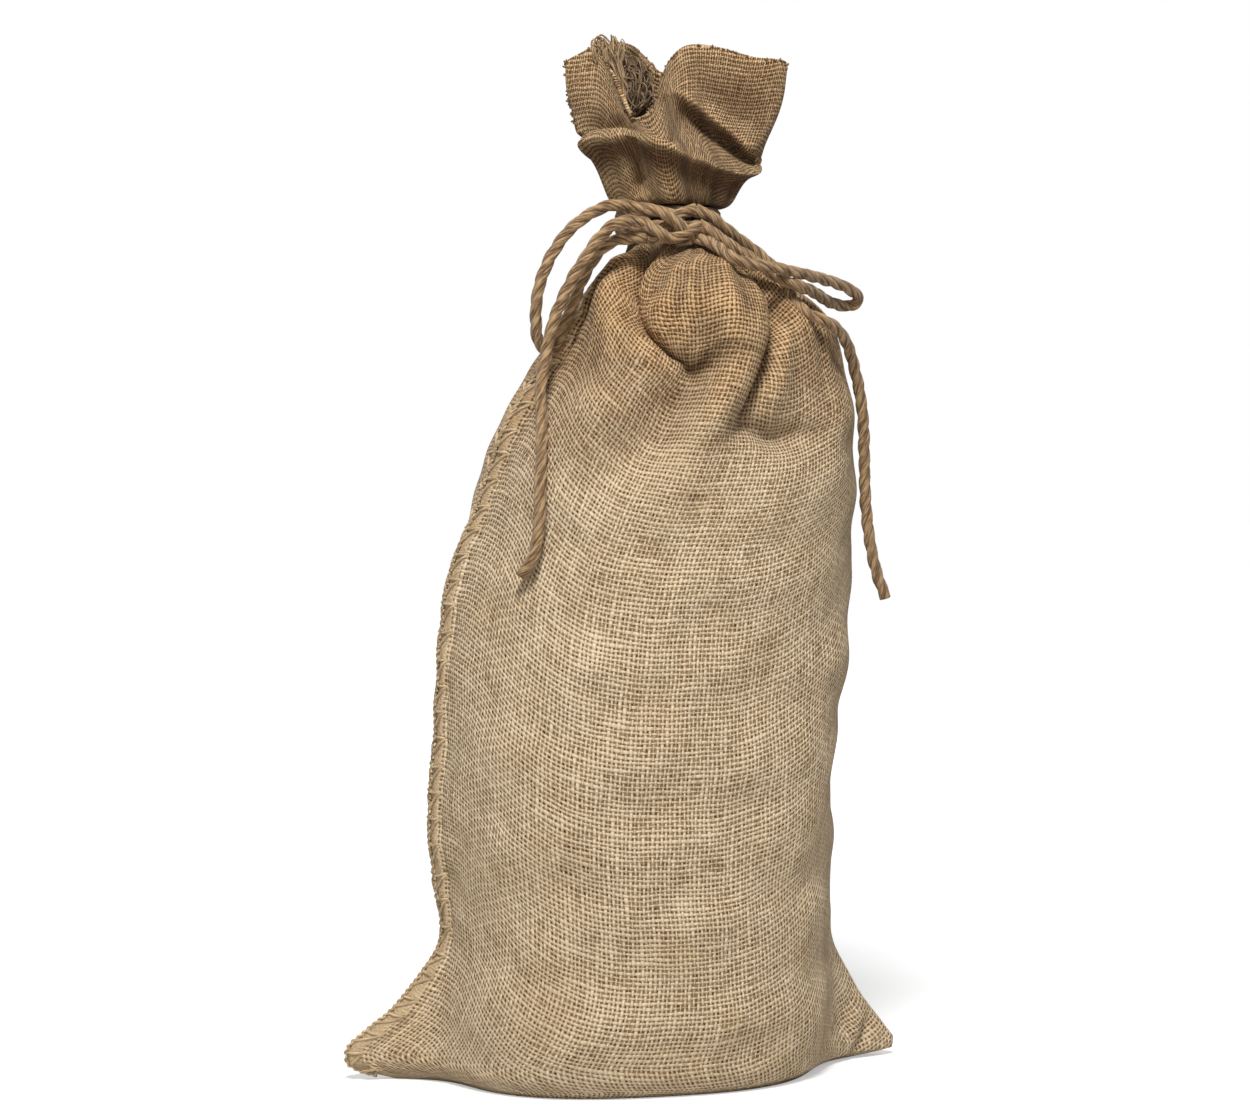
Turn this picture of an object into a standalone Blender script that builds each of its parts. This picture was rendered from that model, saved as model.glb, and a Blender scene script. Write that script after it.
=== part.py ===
"""A filled burlap sack, tied shut at the neck with a bow of jute twine.

Metres, +Z up. The origin is on the floor under the middle of the sack. The sewn side of the sack
is at -X, and its front faces -Y. Run it with blender --background --python part.py.
"""

import math
from typing import NamedTuple

import bpy
import numpy as np

# The cut of the sack, laid flat
FLAT_WIDTH = 0.300
CLOTH_THICKNESS = 0.0022

# The twine, and the space left between it and the cloth
TWINE_DIAMETER = 0.007
TWINE_STEP = 0.016
TWINE_BEND_STEP = 0.018
TWINE_BEVEL = 2
GAP = 0.0004

# The mesh: columns run up the cloth, from the seam round the front and on round the back
FRONT_COLUMNS = 52
BACK_COLUMNS = 34
COLUMNS = FRONT_COLUMNS + BACK_COLUMNS

# How finely the smooth curves are read
RING_POINTS = 720
LIP_STEPS = 16
FOLD_STEPS = 8
CORD_STEPS = 24

# The neck, where the twine grips the cloth
NECK_HEIGHT = 0.462
NECK_RADIUS = 0.0200
NECK_LEAN = 0.0235
NECK_PLEATS = 11
PLEAT_DEPTH = 0.0009
PINCH_FROM = 0.424
PINCH_TO = 0.444

# The mouth swells out above the twine by these shares of the way to its lip
SKIRT = (0.48, 0.48, -0.03)
UNDER_LIP = (0.82, 0.82, 0.73)
LIP = (1.01, 1.01, 0.93)
CREST = (0.92, 0.92, 1.08)
LINING_FLOOR = 0.45
LINING_DROP = 0.004


class Section(NamedTuple):
    """A level cut through the filled body: how far it reaches and how square it is."""

    height: float
    left: float
    right: float
    depth: float
    square: float
    seam: float
    rows: int


# height, reach to the seam side and to the fold side, half depth, exponent, seam angle, mesh rows
SECTIONS = (
    Section(0.000, -0.092, 0.096, 0.075, 2.5, 0, 2),
    Section(0.010, -0.100, 0.104, 0.083, 2.4, 0, 3),
    Section(0.040, -0.100, 0.107, 0.087, 2.3, 0, 2),
    Section(0.075, -0.097, 0.108, 0.087, 2.2, 0, 2),
    Section(0.135, -0.102, 0.113, 0.087, 2.15, 0, 2),
    Section(0.200, -0.099, 0.118, 0.086, 2.1, 0, 2),
    Section(0.260, -0.091, 0.124, 0.085, 2.0, 0, 2),
    Section(0.305, -0.081, 0.1265, 0.084, 2.0, 6, 4),
    Section(0.345, -0.067, 0.126, 0.081, 2.0, 12, 4),
    Section(0.375, -0.050, 0.121, 0.076, 2.0, 15, 3),
    Section(0.400, -0.031, 0.111, 0.068, 2.0, 14, 3),
    Section(0.420, -0.014, 0.092, 0.054, 2.0, 16, 2),
    Section(0.435, 0.000, 0.068, 0.038, 2.0, 27, 2),
    Section(0.445, 0.0030, 0.0450, 0.0210, 2.0, 34, 1),
    Section(0.452, 0.0035, 0.0435, 0.0200, 2.0, 38, 1),
    Section(0.462, 0.0035, 0.0435, 0.0200, 2.0, 38, 0),
)


class Ear(NamedTuple):
    """A bottom corner of the sack, drawn out past the filled body."""

    side: int
    reach: float
    tip_height: float
    root_height: float
    thickness: float


EARS = (
    Ear(-1, 0.152, 0.014, 0.078, 0.012),
    Ear(1, 0.155, 0.006, 0.072, 0.011),
)
EAR_FALL = 2.1
EAR_FOOT = 0.55
EAR_SPREAD = 1.3
EAR_BLUNT = 0.03


class Fold(NamedTuple):
    """A crease (depth below zero) or a swelling along a path of (angle, height, depth) stops."""

    name: str
    width: float
    power: float
    stops: tuple


# Angles in degrees from the seam side (-X) round the front, heights and depths in metres
FOLDS = (
    Fold("left roll", 0.0120, 2.0, (
        (38, 0.440, 0.003), (31, 0.427, 0.008), (33, 0.411, 0.009), (40, 0.396, 0.007),
        (50, 0.384, 0.004))),
    Fold("knot crease", 0.0068, 1.7, (
        (46, 0.446, -0.006), (43, 0.431, -0.016), (45, 0.418, -0.018), (53, 0.407, -0.017),
        (61, 0.398, -0.014), (69, 0.390, -0.010), (77, 0.383, -0.006))),
    Fold("long trough", 0.0130, 2.0, (
        (80, 0.382, -0.004), (83, 0.374, -0.007), (76, 0.358, -0.009), (69, 0.332, -0.006),
        (60, 0.314, -0.002))),
    Fold("tongue", 0.0200, 2.0, (
        (72, 0.440, 0.003), (79, 0.425, 0.009), (82, 0.410, 0.013), (84, 0.396, 0.012),
        (92, 0.380, 0.006))),
    Fold("right valley", 0.0095, 1.8, (
        (126, 0.440, -0.008), (124, 0.424, -0.015), (120, 0.408, -0.019), (117, 0.392, -0.019),
        (114, 0.375, -0.016), (113, 0.357, -0.012), (117, 0.345, -0.008))),
    Fold("right hollow", 0.0180, 2.0, ((124, 0.352, -0.006), (121, 0.338, -0.007))),
    Fold("smile", 0.0070, 1.6, (
        (104, 0.336, -0.002), (109, 0.329, -0.004), (117, 0.324, -0.005), (134, 0.329, -0.002))),
    Fold("left panel", 0.0220, 2.0, ((35, 0.400, 0.002), (50, 0.362, 0.004), (48, 0.340, 0.002))),
    Fold("middle ridge", 0.0140, 2.0, (
        (98, 0.385, 0.004), (94, 0.362, 0.005), (88, 0.340, 0.004), (86, 0.310, 0.001))),
    Fold("back crease", 0.0090, 1.7, (
        (206, 0.442, -0.006), (210, 0.420, -0.013), (217, 0.392, -0.010), (222, 0.365, -0.003))),
    Fold("back trough", 0.0120, 2.0, (
        (262, 0.442, -0.006), (256, 0.420, -0.012), (250, 0.392, -0.009), (252, 0.350, -0.003))),
    Fold("seam-side crease", 0.0090, 1.7, (
        (322, 0.442, -0.006), (316, 0.420, -0.012), (310, 0.394, -0.009), (304, 0.368, -0.002))),
)

SEAM_RIDGE = 0.0030
SEAM_WIDTH = 0.0050
SEAM_FOOT = 0.012


class Bend(NamedTuple):
    """A bend of the mouth's cloth: its share of the cloth on each side of it, and its points."""

    share: float
    points: int


# At the skirt's foot, under the lip, at the lip and its crest, the pocket, the brow and the panel
BENDS = (Bend(0.30, 2), Bend(0.40, 1), Bend(0.40, 2), Bend(0.40, 2), Bend(0.35, 3), Bend(0.35, 3),
         Bend(0.50, 2))


class Pleat(NamedTuple):
    """A column of the open mouth: (across, forward, up) from the neck at five levels."""

    name: str
    lip: tuple
    pocket: tuple
    brow: tuple
    panel: tuple
    rim: tuple


# Millimetres from the middle of the neck
PLEATS = (
    Pleat("seam edge", (-51, 4, 33), (-51, 3, 38), (-53, 1, 51), (-56, 0, 62), (-56, 0, 76)),
    Pleat("left lobe", (-49, 16, 35), (-47, 10, 38), (-49, 13, 52), (-51, 11, 66), (-49, 8, 80)),
    Pleat("lobe top", (-42, 24, 36), (-40, 15, 38), (-41, 20, 51), (-41, 18, 66), (-43, 14, 82)),
    Pleat("left edge", (-34, 31, 36), (-32, 20, 38), (-34, 24, 48), (-35, 22, 60), (-37, 19, 72)),
    Pleat("notch left", (-26, 37, 34), (-25, 26, 36), (-28, 26, 44), (-30, 25, 50),
          (-32, 25, 56)),
    Pleat("notch", (-15, 41, 31), (-16, 31, 33), (-20, 26, 39), (-23, 26, 42), (-26, 27, 44)),
    Pleat("panel edge", (-6, 42, 28), (-7, 31, 30), (-11, 26, 41), (-13, 24, 45), (-14, 23, 50)),
    Pleat("flap side", (2, 42, 24), (-3, 28, 40), (-7, 28, 56), (-8, 23, 62), (-9, 21, 66)),
    Pleat("flap corner", (10, 41, 22), (2, 25, 45), (-4, 31, 58), (-3, 23, 67), (-3, 19, 77)),
    Pleat("flap top", (17, 40, 19), (10, 22, 42), (4, 34, 53), (6, 24, 67), (6, 19, 84)),
    Pleat("flap middle", (26, 37, 17), (19, 20, 37), (15, 34, 45), (20, 22, 60), (22, 18, 84)),
    Pleat("flap right", (35, 33, 16), (29, 17, 31), (27, 32, 37), (37, 18, 54), (44, 13, 80)),
    Pleat("beak", (45, 26, 18), (41, 13, 24), (40, 26, 29), (56, 11, 51), (62, 6, 80)),
    Pleat("right edge", (49, 10, 24), (51, 3, 27), (52, 8, 34), (64, 1, 57), (67, -4, 77)),
    Pleat("right back", (43, -8, 25), (46, -10, 34), (52, -11, 42), (58, -13, 56), (58, -20, 72)),
    Pleat("first fold in", (26, -12, 24), (28, -8, 36), (30, -7, 45), (31, -6, 56),
          (35, -2, 70)),
    Pleat("first fold out", (14, -30, 24), (15, -33, 36), (16, -33, 45), (17, -33, 56),
          (19, -31, 70)),
    Pleat("second fold in", (2, -14, 24), (2, -11, 36), (3, -9, 46), (1, -8, 58), (-2, -7, 73)),
    Pleat("second fold out", (-12, -31, 24), (-13, -34, 36), (-13, -34, 46), (-12, -32, 62),
          (-9, -28, 87)),
    Pleat("third fold in", (-22, -14, 26), (-24, -12, 38), (-25, -11, 48), (-26, -9, 64),
          (-27, -8, 88)),
    Pleat("left back", (-38, -17, 29), (-41, -19, 41), (-42, -19, 50), (-44, -17, 64),
          (-45, -16, 80)),
)


# The turns of twine round the neck, by the height of each one's middle
WRAPS = (("tie_wrap_lower", 0.4498), ("tie_wrap_upper", 0.4575))
WRAP_POINTS = 24


class Knot(NamedTuple):
    """The bow's knot: its middle, its half sizes, and how square it is."""

    middle: tuple
    half: tuple
    square: float
    ridge: float
    rows: int
    columns: int


KNOT = Knot((0.0158, -0.0366, 0.4508), (0.0136, 0.0080, 0.0115), 2.6, 0.05, 12, 24)


class Cord(NamedTuple):
    """A strand of the bow, by the points it passes in millimetres: across, back and up."""

    name: str
    stops: tuple


CORDS = (
    Cord("tie_loop_left", (
        (2.6, -35.8, 457.6), (-5, -35.5, 458.8), (-11, -36, 459.3), (-19.5, -37, 457.8),
        (-29, -39, 453), (-38, -40, 446), (-44.5, -40, 438), (-49.3, -40, 430), (-53.5, -40, 420),
        (-55.7, -39, 410), (-55.9, -37, 401),
        (-55.3, -35, 393.5), (-53.0, -32.5, 386.8), (-48.4, -30, 383.6), (-43.4, -29, 386.4),
        (-41.2, -29.5, 392.5), (-38.2, -30.5, 400), (-34.6, -31.5, 409), (-31.4, -32.5, 418),
        (-26.6, -33, 427.5), (-20.5, -33.5, 436), (-13, -34.5, 440.8), (-5, -35, 442.2),
        (3.0, -35.8, 442.6))),
    Cord("tie_end_left", (
        (2.0, -37.3, 450.0), (-3.5, -39.0, 450.6), (-10, -41.6, 450.4), (-17, -43, 447.4),
        (-25, -43.5, 439.7), (-31, -43.5, 431), (-36.5, -43, 422.5), (-41, -42, 413.5),
        (-44.7, -41, 405),
        (-47.7, -41, 397), (-49.5, -41, 390), (-51, -41.2, 383), (-53, -42.3, 374),
        (-54.6, -44, 366), (-55.3, -46, 357.5), (-54.9, -48.2, 347), (-55.8, -52.6, 336),
        (-57, -55.8, 323), (-58, -58.3, 311), (-58.4, -60.2, 300), (-59.8, -61.6, 288),
        (-62.5, -61.6, 276), (-68, -58.4, 267))),
    Cord("tie_loop_right", (
        (29.3, -36.6, 442.6), (33.5, -39.5, 441.5), (37, -46.5, 438.5), (39.6, -55.5, 434.5),
        (43.0, -63.0, 430.3), (54, -61, 427.4),
        (65, -57.5, 426.6), (78, -52, 424.8), (92.7, -43, 423.0), (107, -34, 420.5),
        (117.2, -27.5, 417.6), (122.6, -24, 413.8), (120.2, -21.5, 409.6), (112.0, -23.5, 409.6),
        (103.0, -31, 411.3), (92, -43.0, 415.0), (80.5, -52.4, 417.7), (70.5, -47.5, 422.6),
        (61, -43.5, 430.3), (48.6, -41, 438.1), (39.5, -39.5, 444.4), (34.5, -38.3, 448.0),
        (30.8, -37.5, 449.9))),
    Cord("tie_end_right", (
        (30.1, -35.0, 457.9), (38.5, -34.5, 454.3), (46.5, -33.5, 448.3), (56.5, -30, 442),
        (65, -28.5, 436.6), (71.6, -32, 430), (76.8, -39.4, 421.8), (79.9, -46.6, 410.6),
        (87.0, -52.8, 402.4), (94.5, -53.4, 399.6), (103.0, -48.0, 395.8), (111.5, -38.5, 389),
        (118.0, -30, 378.5), (122.8, -26, 364), (126, -23, 348), (127.4, -21, 327),
        (128.4, -20, 305), (130.8, -20, 284), (134.5, -20, 267), (140.0, -20, 252))),
)


def spline(points, steps, closed=False):
    """Catmull-Rom through the points, with this many steps to a span."""
    points = np.asarray(points, float)
    count = len(points)
    spans = count if closed else count - 1
    made = []
    for i in range(spans):
        if closed:
            a, b, c, d = (points[(i + k) % count] for k in (-1, 0, 1, 2))
        else:
            b, c = points[i], points[i + 1]
            a = points[i - 1] if i else 2 * b - c
            d = points[i + 2] if i + 2 < count else 2 * c - b
        for t in np.arange(steps) / steps:
            made.append(0.5 * (2 * b + (c - a) * t + (2 * a - 5 * b + 4 * c - d) * t**2
                               + (3 * b - a - 3 * c + d) * t**3))
    if not closed:
        made.append(points[-1])
    return np.array(made)


def along(points):
    """Distance from the first point to each point of a path."""
    return np.concatenate([[0], np.cumsum(np.linalg.norm(np.diff(points, axis=0), axis=1))])


def turns():
    """Each column's share of the way round the cloth, closer together over the front."""
    front = np.arange(FRONT_COLUMNS) / FRONT_COLUMNS
    back = np.arange(BACK_COLUMNS) / BACK_COLUMNS
    return np.concatenate([front, 1 + back]) / 2


def resampled(loop):
    """A closed loop's points at the columns' turns, starting from its first point."""
    ring = np.vstack([loop, loop[:1]])
    far = along(ring)
    return np.column_stack([np.interp(turns() * far[-1], far, ring[:, k]) for k in range(3)])


def section_rows():
    """One Section for each row of the mesh, on a smooth curve through the table."""
    table = np.array([s[:6] for s in SECTIONS])
    rows = []
    for i, section in enumerate(SECTIONS[:-1]):
        span = spline(table, section.rows)[i * section.rows:(i + 1) * section.rows]
        rows.extend(span)
    rows.append(table[-1])
    return np.array(rows)


def ear_reach(ear, height):
    """How far an ear stands out past the filled body, from 0 at its root to 1 at its tip."""
    if height <= ear.tip_height:
        return EAR_FOOT + (1 - EAR_FOOT) * math.sin(math.pi / 2 * height / ear.tip_height)
    share = (height - ear.tip_height) / (ear.root_height - ear.tip_height)
    return max(0.0, 1 - share) ** EAR_FALL


def ring(row):
    """The outline of one section as a closed loop that starts at the seam."""
    height, left, right, depth, square, seam = row
    turn = np.radians(seam) + np.arange(RING_POINTS) / RING_POINTS * 2 * np.pi
    across = np.sign(np.cos(turn)) * np.abs(np.cos(turn)) ** (2 / square)
    forward = np.sign(np.sin(turn)) * np.abs(np.sin(turn)) ** (2 / square)
    x = (left + right) / 2 - (right - left) / 2 * across
    y = -depth * forward
    for ear in EARS:
        body = -left if ear.side < 0 else right
        spread = np.sqrt((y / ear.thickness) ** 2 + EAR_BLUNT) - math.sqrt(EAR_BLUNT)
        spike = (ear.reach - body) * ear_reach(ear, height) * np.exp(-EAR_SPREAD * spread)
        x += ear.side * spike * (across * ear.side < 0)
    return np.column_stack([x, y, np.full(RING_POINTS, height)])


def surface_point(rows, angle, height):
    """The point of the unfolded body at this angle from the seam side, and at this height."""
    row = np.array([np.interp(height, rows[:, 0], rows[:, k]) for k in range(rows.shape[1])])
    row[0], row[5] = height, 0
    return ring(row)[round(angle / 360 * RING_POINTS) % RING_POINTS]


def fold_shift(fold, rows, grid):
    """How far a fold moves each point of the grid along its normal."""
    stops = [(*surface_point(rows, angle, height), depth) for angle, height, depth in fold.stops]
    path = spline(stops, FOLD_STEPS)
    starts, ends = path[:-1], path[1:]
    shift = np.zeros(grid.shape[:2])
    nearest = np.full(grid.shape[:2], np.inf)
    for start, end in zip(starts, ends):
        run = end[:3] - start[:3]
        share = np.clip(((grid - start[:3]) @ run) / (run @ run), 0, 1)
        away = np.linalg.norm(grid - (start[:3] + share[..., None] * run), axis=2)
        depth = start[3] + share * (end[3] - start[3])
        closer = away < nearest
        shift[closer] = (depth * np.exp(-((away / fold.width) ** fold.power)))[closer]
        nearest = np.minimum(nearest, away)
    return shift


def grid_normals(grid):
    """The outward normal at each point of rows of closed rings."""
    round_ = np.roll(grid, -1, axis=1) - np.roll(grid, 1, axis=1)
    up = np.gradient(grid, axis=0)
    normals = np.cross(round_, up)
    return normals / np.maximum(np.linalg.norm(normals, axis=2, keepdims=True), 1e-12)


def body_grid():
    """The filled body from the floor to the neck: rows of rings, with its folds and seam."""
    rows = section_rows()
    grid = np.array([resampled(ring(row)) for row in rows])
    normals = grid_normals(grid)
    shift = sum(fold_shift(fold, rows, grid) for fold in FOLDS)
    pinch = np.clip((grid[..., 2] - PINCH_FROM) / (PINCH_TO - PINCH_FROM), 0, 1)
    turn = 2 * np.pi * turns()
    seam_far = np.minimum(turn, 2 * np.pi - turn) * FLAT_WIDTH / np.pi
    shift += SEAM_RIDGE * np.exp(-((seam_far / SEAM_WIDTH) ** 2)) * (grid[..., 2] > SEAM_FOOT)
    shift = shift * (1 - pinch) + PLEAT_DEPTH * pinch * np.cos(NECK_PLEATS * turn)
    return grid + normals * shift[..., None]


def frill_grid(neck):
    """The open mouth above the twine: rings from the neck to the rim."""
    centre = np.array([NECK_LEAN, 0, NECK_HEIGHT])
    levels = []
    for level in Pleat._fields[1:]:
        across, forward, up = (np.array([getattr(p, level)[k] for p in PLEATS]) for k in range(3))
        levels.append(centre + np.column_stack([across, -forward, up]) / 1000)
    rim = np.vstack([levels[-1], levels[-1][:1]])
    share = along(rim) / along(rim)[-1]
    pleat = np.arange(len(PLEATS) * LIP_STEPS) / LIP_STEPS
    where = np.append(np.interp(pleat, np.arange(len(PLEATS) + 1), share), 1)
    rings = [neck, None, None]
    for level in levels:
        smooth = spline(level, LIP_STEPS, closed=True)
        smooth = np.vstack([smooth, smooth[:1]])
        rings.append(np.column_stack([np.interp(turns(), where, smooth[:, k]) for k in range(3)]))
    rings[1] = neck + (rings[3] - neck) * np.array(SKIRT)
    lip = rings[3] - centre
    rings[2:4] = [centre + lip * part for part in (UNDER_LIP, LIP, CREST)]
    rows = []
    for before, here, after, bend in zip(rings, rings[1:], rings[2:], BENDS):
        start = here + (before - here) * bend.share
        end = here + (after - here) * bend.share
        for t in (np.arange(bend.points) + 0.5) / bend.points:
            rows.append((1 - t) ** 2 * start + 2 * t * (1 - t) * here + t**2 * end)
    rows.append(rings[-1])
    return np.array(rows)


def sack_mesh():
    """The sack as points and faces: underside, body, mouth, and the hollow inside the mouth."""
    body = body_grid()
    frill = frill_grid(body[-1])
    lining = (frill - grid_normals(frill) * CLOTH_THICKNESS)[::-1]
    centre = lining[-1].mean(axis=0)
    floor = centre + (lining[-1] - centre) * LINING_FLOOR - np.array([0, 0, LINING_DROP])
    rows = np.concatenate([body, frill, lining, floor[None]])
    index = np.arange(len(rows) * COLUMNS).reshape(len(rows), COLUMNS)
    faces = [list(index[0][::-1]), list(index[-1])]
    for lower, upper in zip(index[:-1], index[1:]):
        for j in range(COLUMNS):
            k = (j + 1) % COLUMNS
            faces.append([lower[j], lower[k], upper[k], upper[j]])
    return rows.reshape(-1, 3), faces


def material(name, colour, roughness):
    """A plain cloth material."""
    made = bpy.data.materials.new(name)
    made.use_nodes = True
    shader = made.node_tree.nodes["Principled BSDF"]
    shader.inputs["Base Color"].default_value = (*colour, 1)
    shader.inputs["Roughness"].default_value = roughness
    shader.inputs["Metallic"].default_value = 0
    return made


def add_mesh(name, points, faces, finish):
    """An object made from points and faces."""
    mesh = bpy.data.meshes.new(name)
    mesh.from_pydata(points.tolist(), [], [[int(i) for i in face] for face in faces])
    mesh.shade_smooth()
    mesh.materials.append(finish)
    made = bpy.data.objects.new(name, mesh)
    bpy.context.collection.objects.link(made)
    return made


def add_tube(name, points, finish, closed=False):
    """A length of twine through these points, with flat ends, or closed into a ring."""
    curve = bpy.data.curves.new(name, "CURVE")
    curve.dimensions = "3D"
    curve.bevel_depth = TWINE_DIAMETER / 2
    curve.bevel_resolution = TWINE_BEVEL
    curve.use_fill_caps = not closed
    run = curve.splines.new("POLY")
    run.points.add(len(points) - 1)
    for point, place in zip(run.points, points):
        point.co = (*place, 1)
    run.use_cyclic_u = closed
    curve.materials.append(finish)
    made = bpy.data.objects.new(name, curve)
    bpy.context.collection.objects.link(made)
    return made


def cord_points(cord):
    """Points along a smooth curve through a cord's stops, closer together where it bends."""
    curve = spline(np.array(cord.stops) / 1000, CORD_STEPS)
    runs = np.diff(curve, axis=0)
    runs /= np.linalg.norm(runs, axis=1, keepdims=True)
    bends = np.arccos(np.clip((runs[1:] * runs[:-1]).sum(axis=1), -1, 1))
    far = along(curve) + TWINE_BEND_STEP * np.concatenate([[0], np.cumsum(bends), [bends.sum()]])
    wanted = np.linspace(0, far[-1], math.ceil(far[-1] / TWINE_STEP) + 1)
    return np.column_stack([np.interp(wanted, far, curve[:, k]) for k in range(3)])


def wrap_points(height):
    """The points of a turn of twine round the neck."""
    radius = NECK_RADIUS + PLEAT_DEPTH + 2 * GAP + TWINE_DIAMETER / 2
    radius /= math.cos(math.pi / WRAP_POINTS)
    turn = np.arange(WRAP_POINTS) / WRAP_POINTS * 2 * np.pi
    level = np.full(WRAP_POINTS, height)
    return np.column_stack([NECK_LEAN + radius * np.cos(turn), radius * np.sin(turn), level])


def knot_mesh():
    """The knot as points and faces: a rounded lump with the ridges of the strands it holds."""
    points = [(0, 0, 1)]
    for row in range(1, KNOT.rows):
        tilt = math.pi * row / KNOT.rows
        for column in range(KNOT.columns):
            turn = 2 * math.pi * column / KNOT.columns
            way = np.array([math.sin(tilt) * math.cos(turn), math.sin(tilt) * math.sin(turn),
                            math.cos(tilt)])
            size = (np.abs(way) ** KNOT.square).sum() ** (-1 / KNOT.square)
            swell = 1 - KNOT.ridge * (1 + math.cos(4 * tilt + 2 * turn)) / 2
            points.append(way * size * swell)
    points.append((0, 0, -1))
    last = len(points) - 1
    faces = []
    for column in range(KNOT.columns):
        beside = (column + 1) % KNOT.columns
        foot = last - KNOT.columns
        faces.append([0, 1 + column, 1 + beside])
        faces.append([last, foot + beside, foot + column])
        for row in range(KNOT.rows - 2):
            upper = 1 + row * KNOT.columns
            lower = upper + KNOT.columns
            faces.append([upper + column, lower + column, lower + beside, upper + beside])
    return np.array(points) * np.array(KNOT.half) + np.array(KNOT.middle), faces


def main():
    """Builds the sack and its tie."""
    for old in list(bpy.data.objects):
        bpy.data.objects.remove(old)
    burlap = material("burlap", (0.42, 0.30, 0.17), 0.95)
    twine = material("twine", (0.47, 0.34, 0.20), 0.9)
    add_mesh("sack", *sack_mesh(), burlap)
    add_mesh("tie_knot", *knot_mesh(), twine)
    for name, height in WRAPS:
        add_tube(name, wrap_points(height), twine, closed=True)
    for cord in CORDS:
        add_tube(cord.name, cord_points(cord), twine)


main()
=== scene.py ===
"""A filled burlap sack, tied shut at the neck with a bow of jute twine.

Metres, +Z up. The origin is on the floor under the middle of the sack, its sewn side is at -X and
its front faces -Y.
"""

import logging
import math
from dataclasses import dataclass, field
from enum import Enum
from typing import NamedTuple, Optional, Sequence

import bpy
import mathutils
import numpy as np
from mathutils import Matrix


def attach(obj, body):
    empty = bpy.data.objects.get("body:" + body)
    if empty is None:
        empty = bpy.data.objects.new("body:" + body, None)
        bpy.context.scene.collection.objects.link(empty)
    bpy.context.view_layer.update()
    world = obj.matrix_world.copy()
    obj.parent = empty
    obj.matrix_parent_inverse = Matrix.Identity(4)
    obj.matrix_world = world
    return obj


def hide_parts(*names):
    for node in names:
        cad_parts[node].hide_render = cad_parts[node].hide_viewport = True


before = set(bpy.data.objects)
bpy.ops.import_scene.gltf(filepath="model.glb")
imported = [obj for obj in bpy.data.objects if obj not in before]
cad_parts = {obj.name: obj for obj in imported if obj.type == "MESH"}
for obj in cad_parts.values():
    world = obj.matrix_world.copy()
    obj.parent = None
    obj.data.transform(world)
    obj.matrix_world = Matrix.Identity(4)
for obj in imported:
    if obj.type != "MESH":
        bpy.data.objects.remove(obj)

LOG = logging.getLogger("burlap_sack")
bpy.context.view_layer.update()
SEED = 7
UV_MAP = "Cloth"
WHITE = (1, 1, 1, 1)


class Slot(Enum):
    """The record's material slots."""

    BURLAP = "burlap"
    TWINE = "twine"


# ---------------------------------------------------------------- curves and grids


def spline(points: Sequence, steps: int, closed: bool = False) -> np.ndarray:
    """A smooth curve through points.

    Args:
        points: the points to pass through, of any dimension.
        steps: how many steps each span is cut into.
        closed: whether the curve returns to its first point.

    Returns:
        The curve's points, one to a row.
    """
    points = np.asarray(points, float)
    if closed:
        points = np.concatenate([points[-1:], points, points[:2]])
    else:
        points = np.concatenate([2 * points[:1] - points[1:2], points,
                                 2 * points[-1:] - points[-2:-1]])
    share = (np.arange(steps) / steps).reshape(-1, *([1] * (points.ndim - 1)))
    made = [0.5 * (2 * b + (c - a) * share + (2 * a - 5 * b + 4 * c - d) * share**2
                   + (3 * b - a - 3 * c + d) * share**3)
            for a, b, c, d in zip(points, points[1:], points[2:], points[3:])]
    return np.concatenate(made if closed else [*made, points[-2:-1]])


def gaps(points: np.ndarray, axis: int) -> np.ndarray:
    """The distance from each point to the next one along an axis."""
    return np.linalg.norm(np.diff(points, axis=axis), axis=-1)


def summed(steps: np.ndarray, axis: int) -> np.ndarray:
    """The running total of steps along an axis, from 0."""
    return np.insert(np.cumsum(steps, axis=axis), 0, 0, axis=axis)


def along(points: np.ndarray, axis: int = 0) -> np.ndarray:
    """Distance from the first point to each point of paths that run along an axis."""
    return summed(gaps(points, axis), axis)


def looped(grid: np.ndarray, axis: int = 1) -> np.ndarray:
    """The same grid, which ends with its own first entry along an axis."""
    return np.concatenate([grid, grid.take([0], axis)], axis)


def matched(wanted: np.ndarray, far: np.ndarray, points: np.ndarray) -> np.ndarray:
    """The points of a path at the wanted distances, where far gives its own points'."""
    return np.column_stack([np.interp(wanted, far, points[:, k]) for k in range(3)])


def even_path(stops: Sequence, step: float) -> np.ndarray:
    """A smooth path through stops in millimetres, its points about step apart in metres."""
    points = spline(np.array(stops) / 1000, 24)
    far = along(points)
    return matched(np.linspace(0, far[-1], max(2, round(far[-1] / step) + 1)), far, points)


def circle(count: int) -> np.ndarray:
    """Evenly spaced angles once round, without the last."""
    return np.arange(count) / count * 2 * np.pi


def unit(vectors: np.ndarray) -> np.ndarray:
    """The vectors, each made one long."""
    return vectors / np.maximum(np.linalg.norm(vectors, axis=-1, keepdims=True), 1e-12)


def ease(values: np.ndarray, low: float, high: float) -> np.ndarray:
    """A smooth rise from 0 at low to 1 at high."""
    share = np.clip((values - low) / (high - low), 0, 1)
    return share * share * (3 - 2 * share)


def grid_normals(grid: np.ndarray) -> np.ndarray:
    """The outward normal at each point of rows of closed rings."""
    around = np.roll(grid, -1, axis=1) - np.roll(grid, 1, axis=1)
    return unit(np.cross(around, np.gradient(grid, axis=0)))


def carried_frames(path: np.ndarray) -> tuple:
    """Two directions across a path at each of its points, which don't spin about it."""
    tangents = unit(np.gradient(path, axis=0))
    side = np.eye(3)[0 if abs(tangents[0, 2]) > 0.95 else 2]
    sides = []
    for tangent in tangents:
        side = unit(side - tangent * (tangent @ side))
        sides.append(side)
    return np.array(sides), np.cross(tangents, sides)


def placed(name: str, data: bpy.types.ID) -> bpy.types.Object:
    """A new object in the scene."""
    made = bpy.data.objects.new(name, data)
    bpy.context.collection.objects.link(made)
    return made


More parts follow.
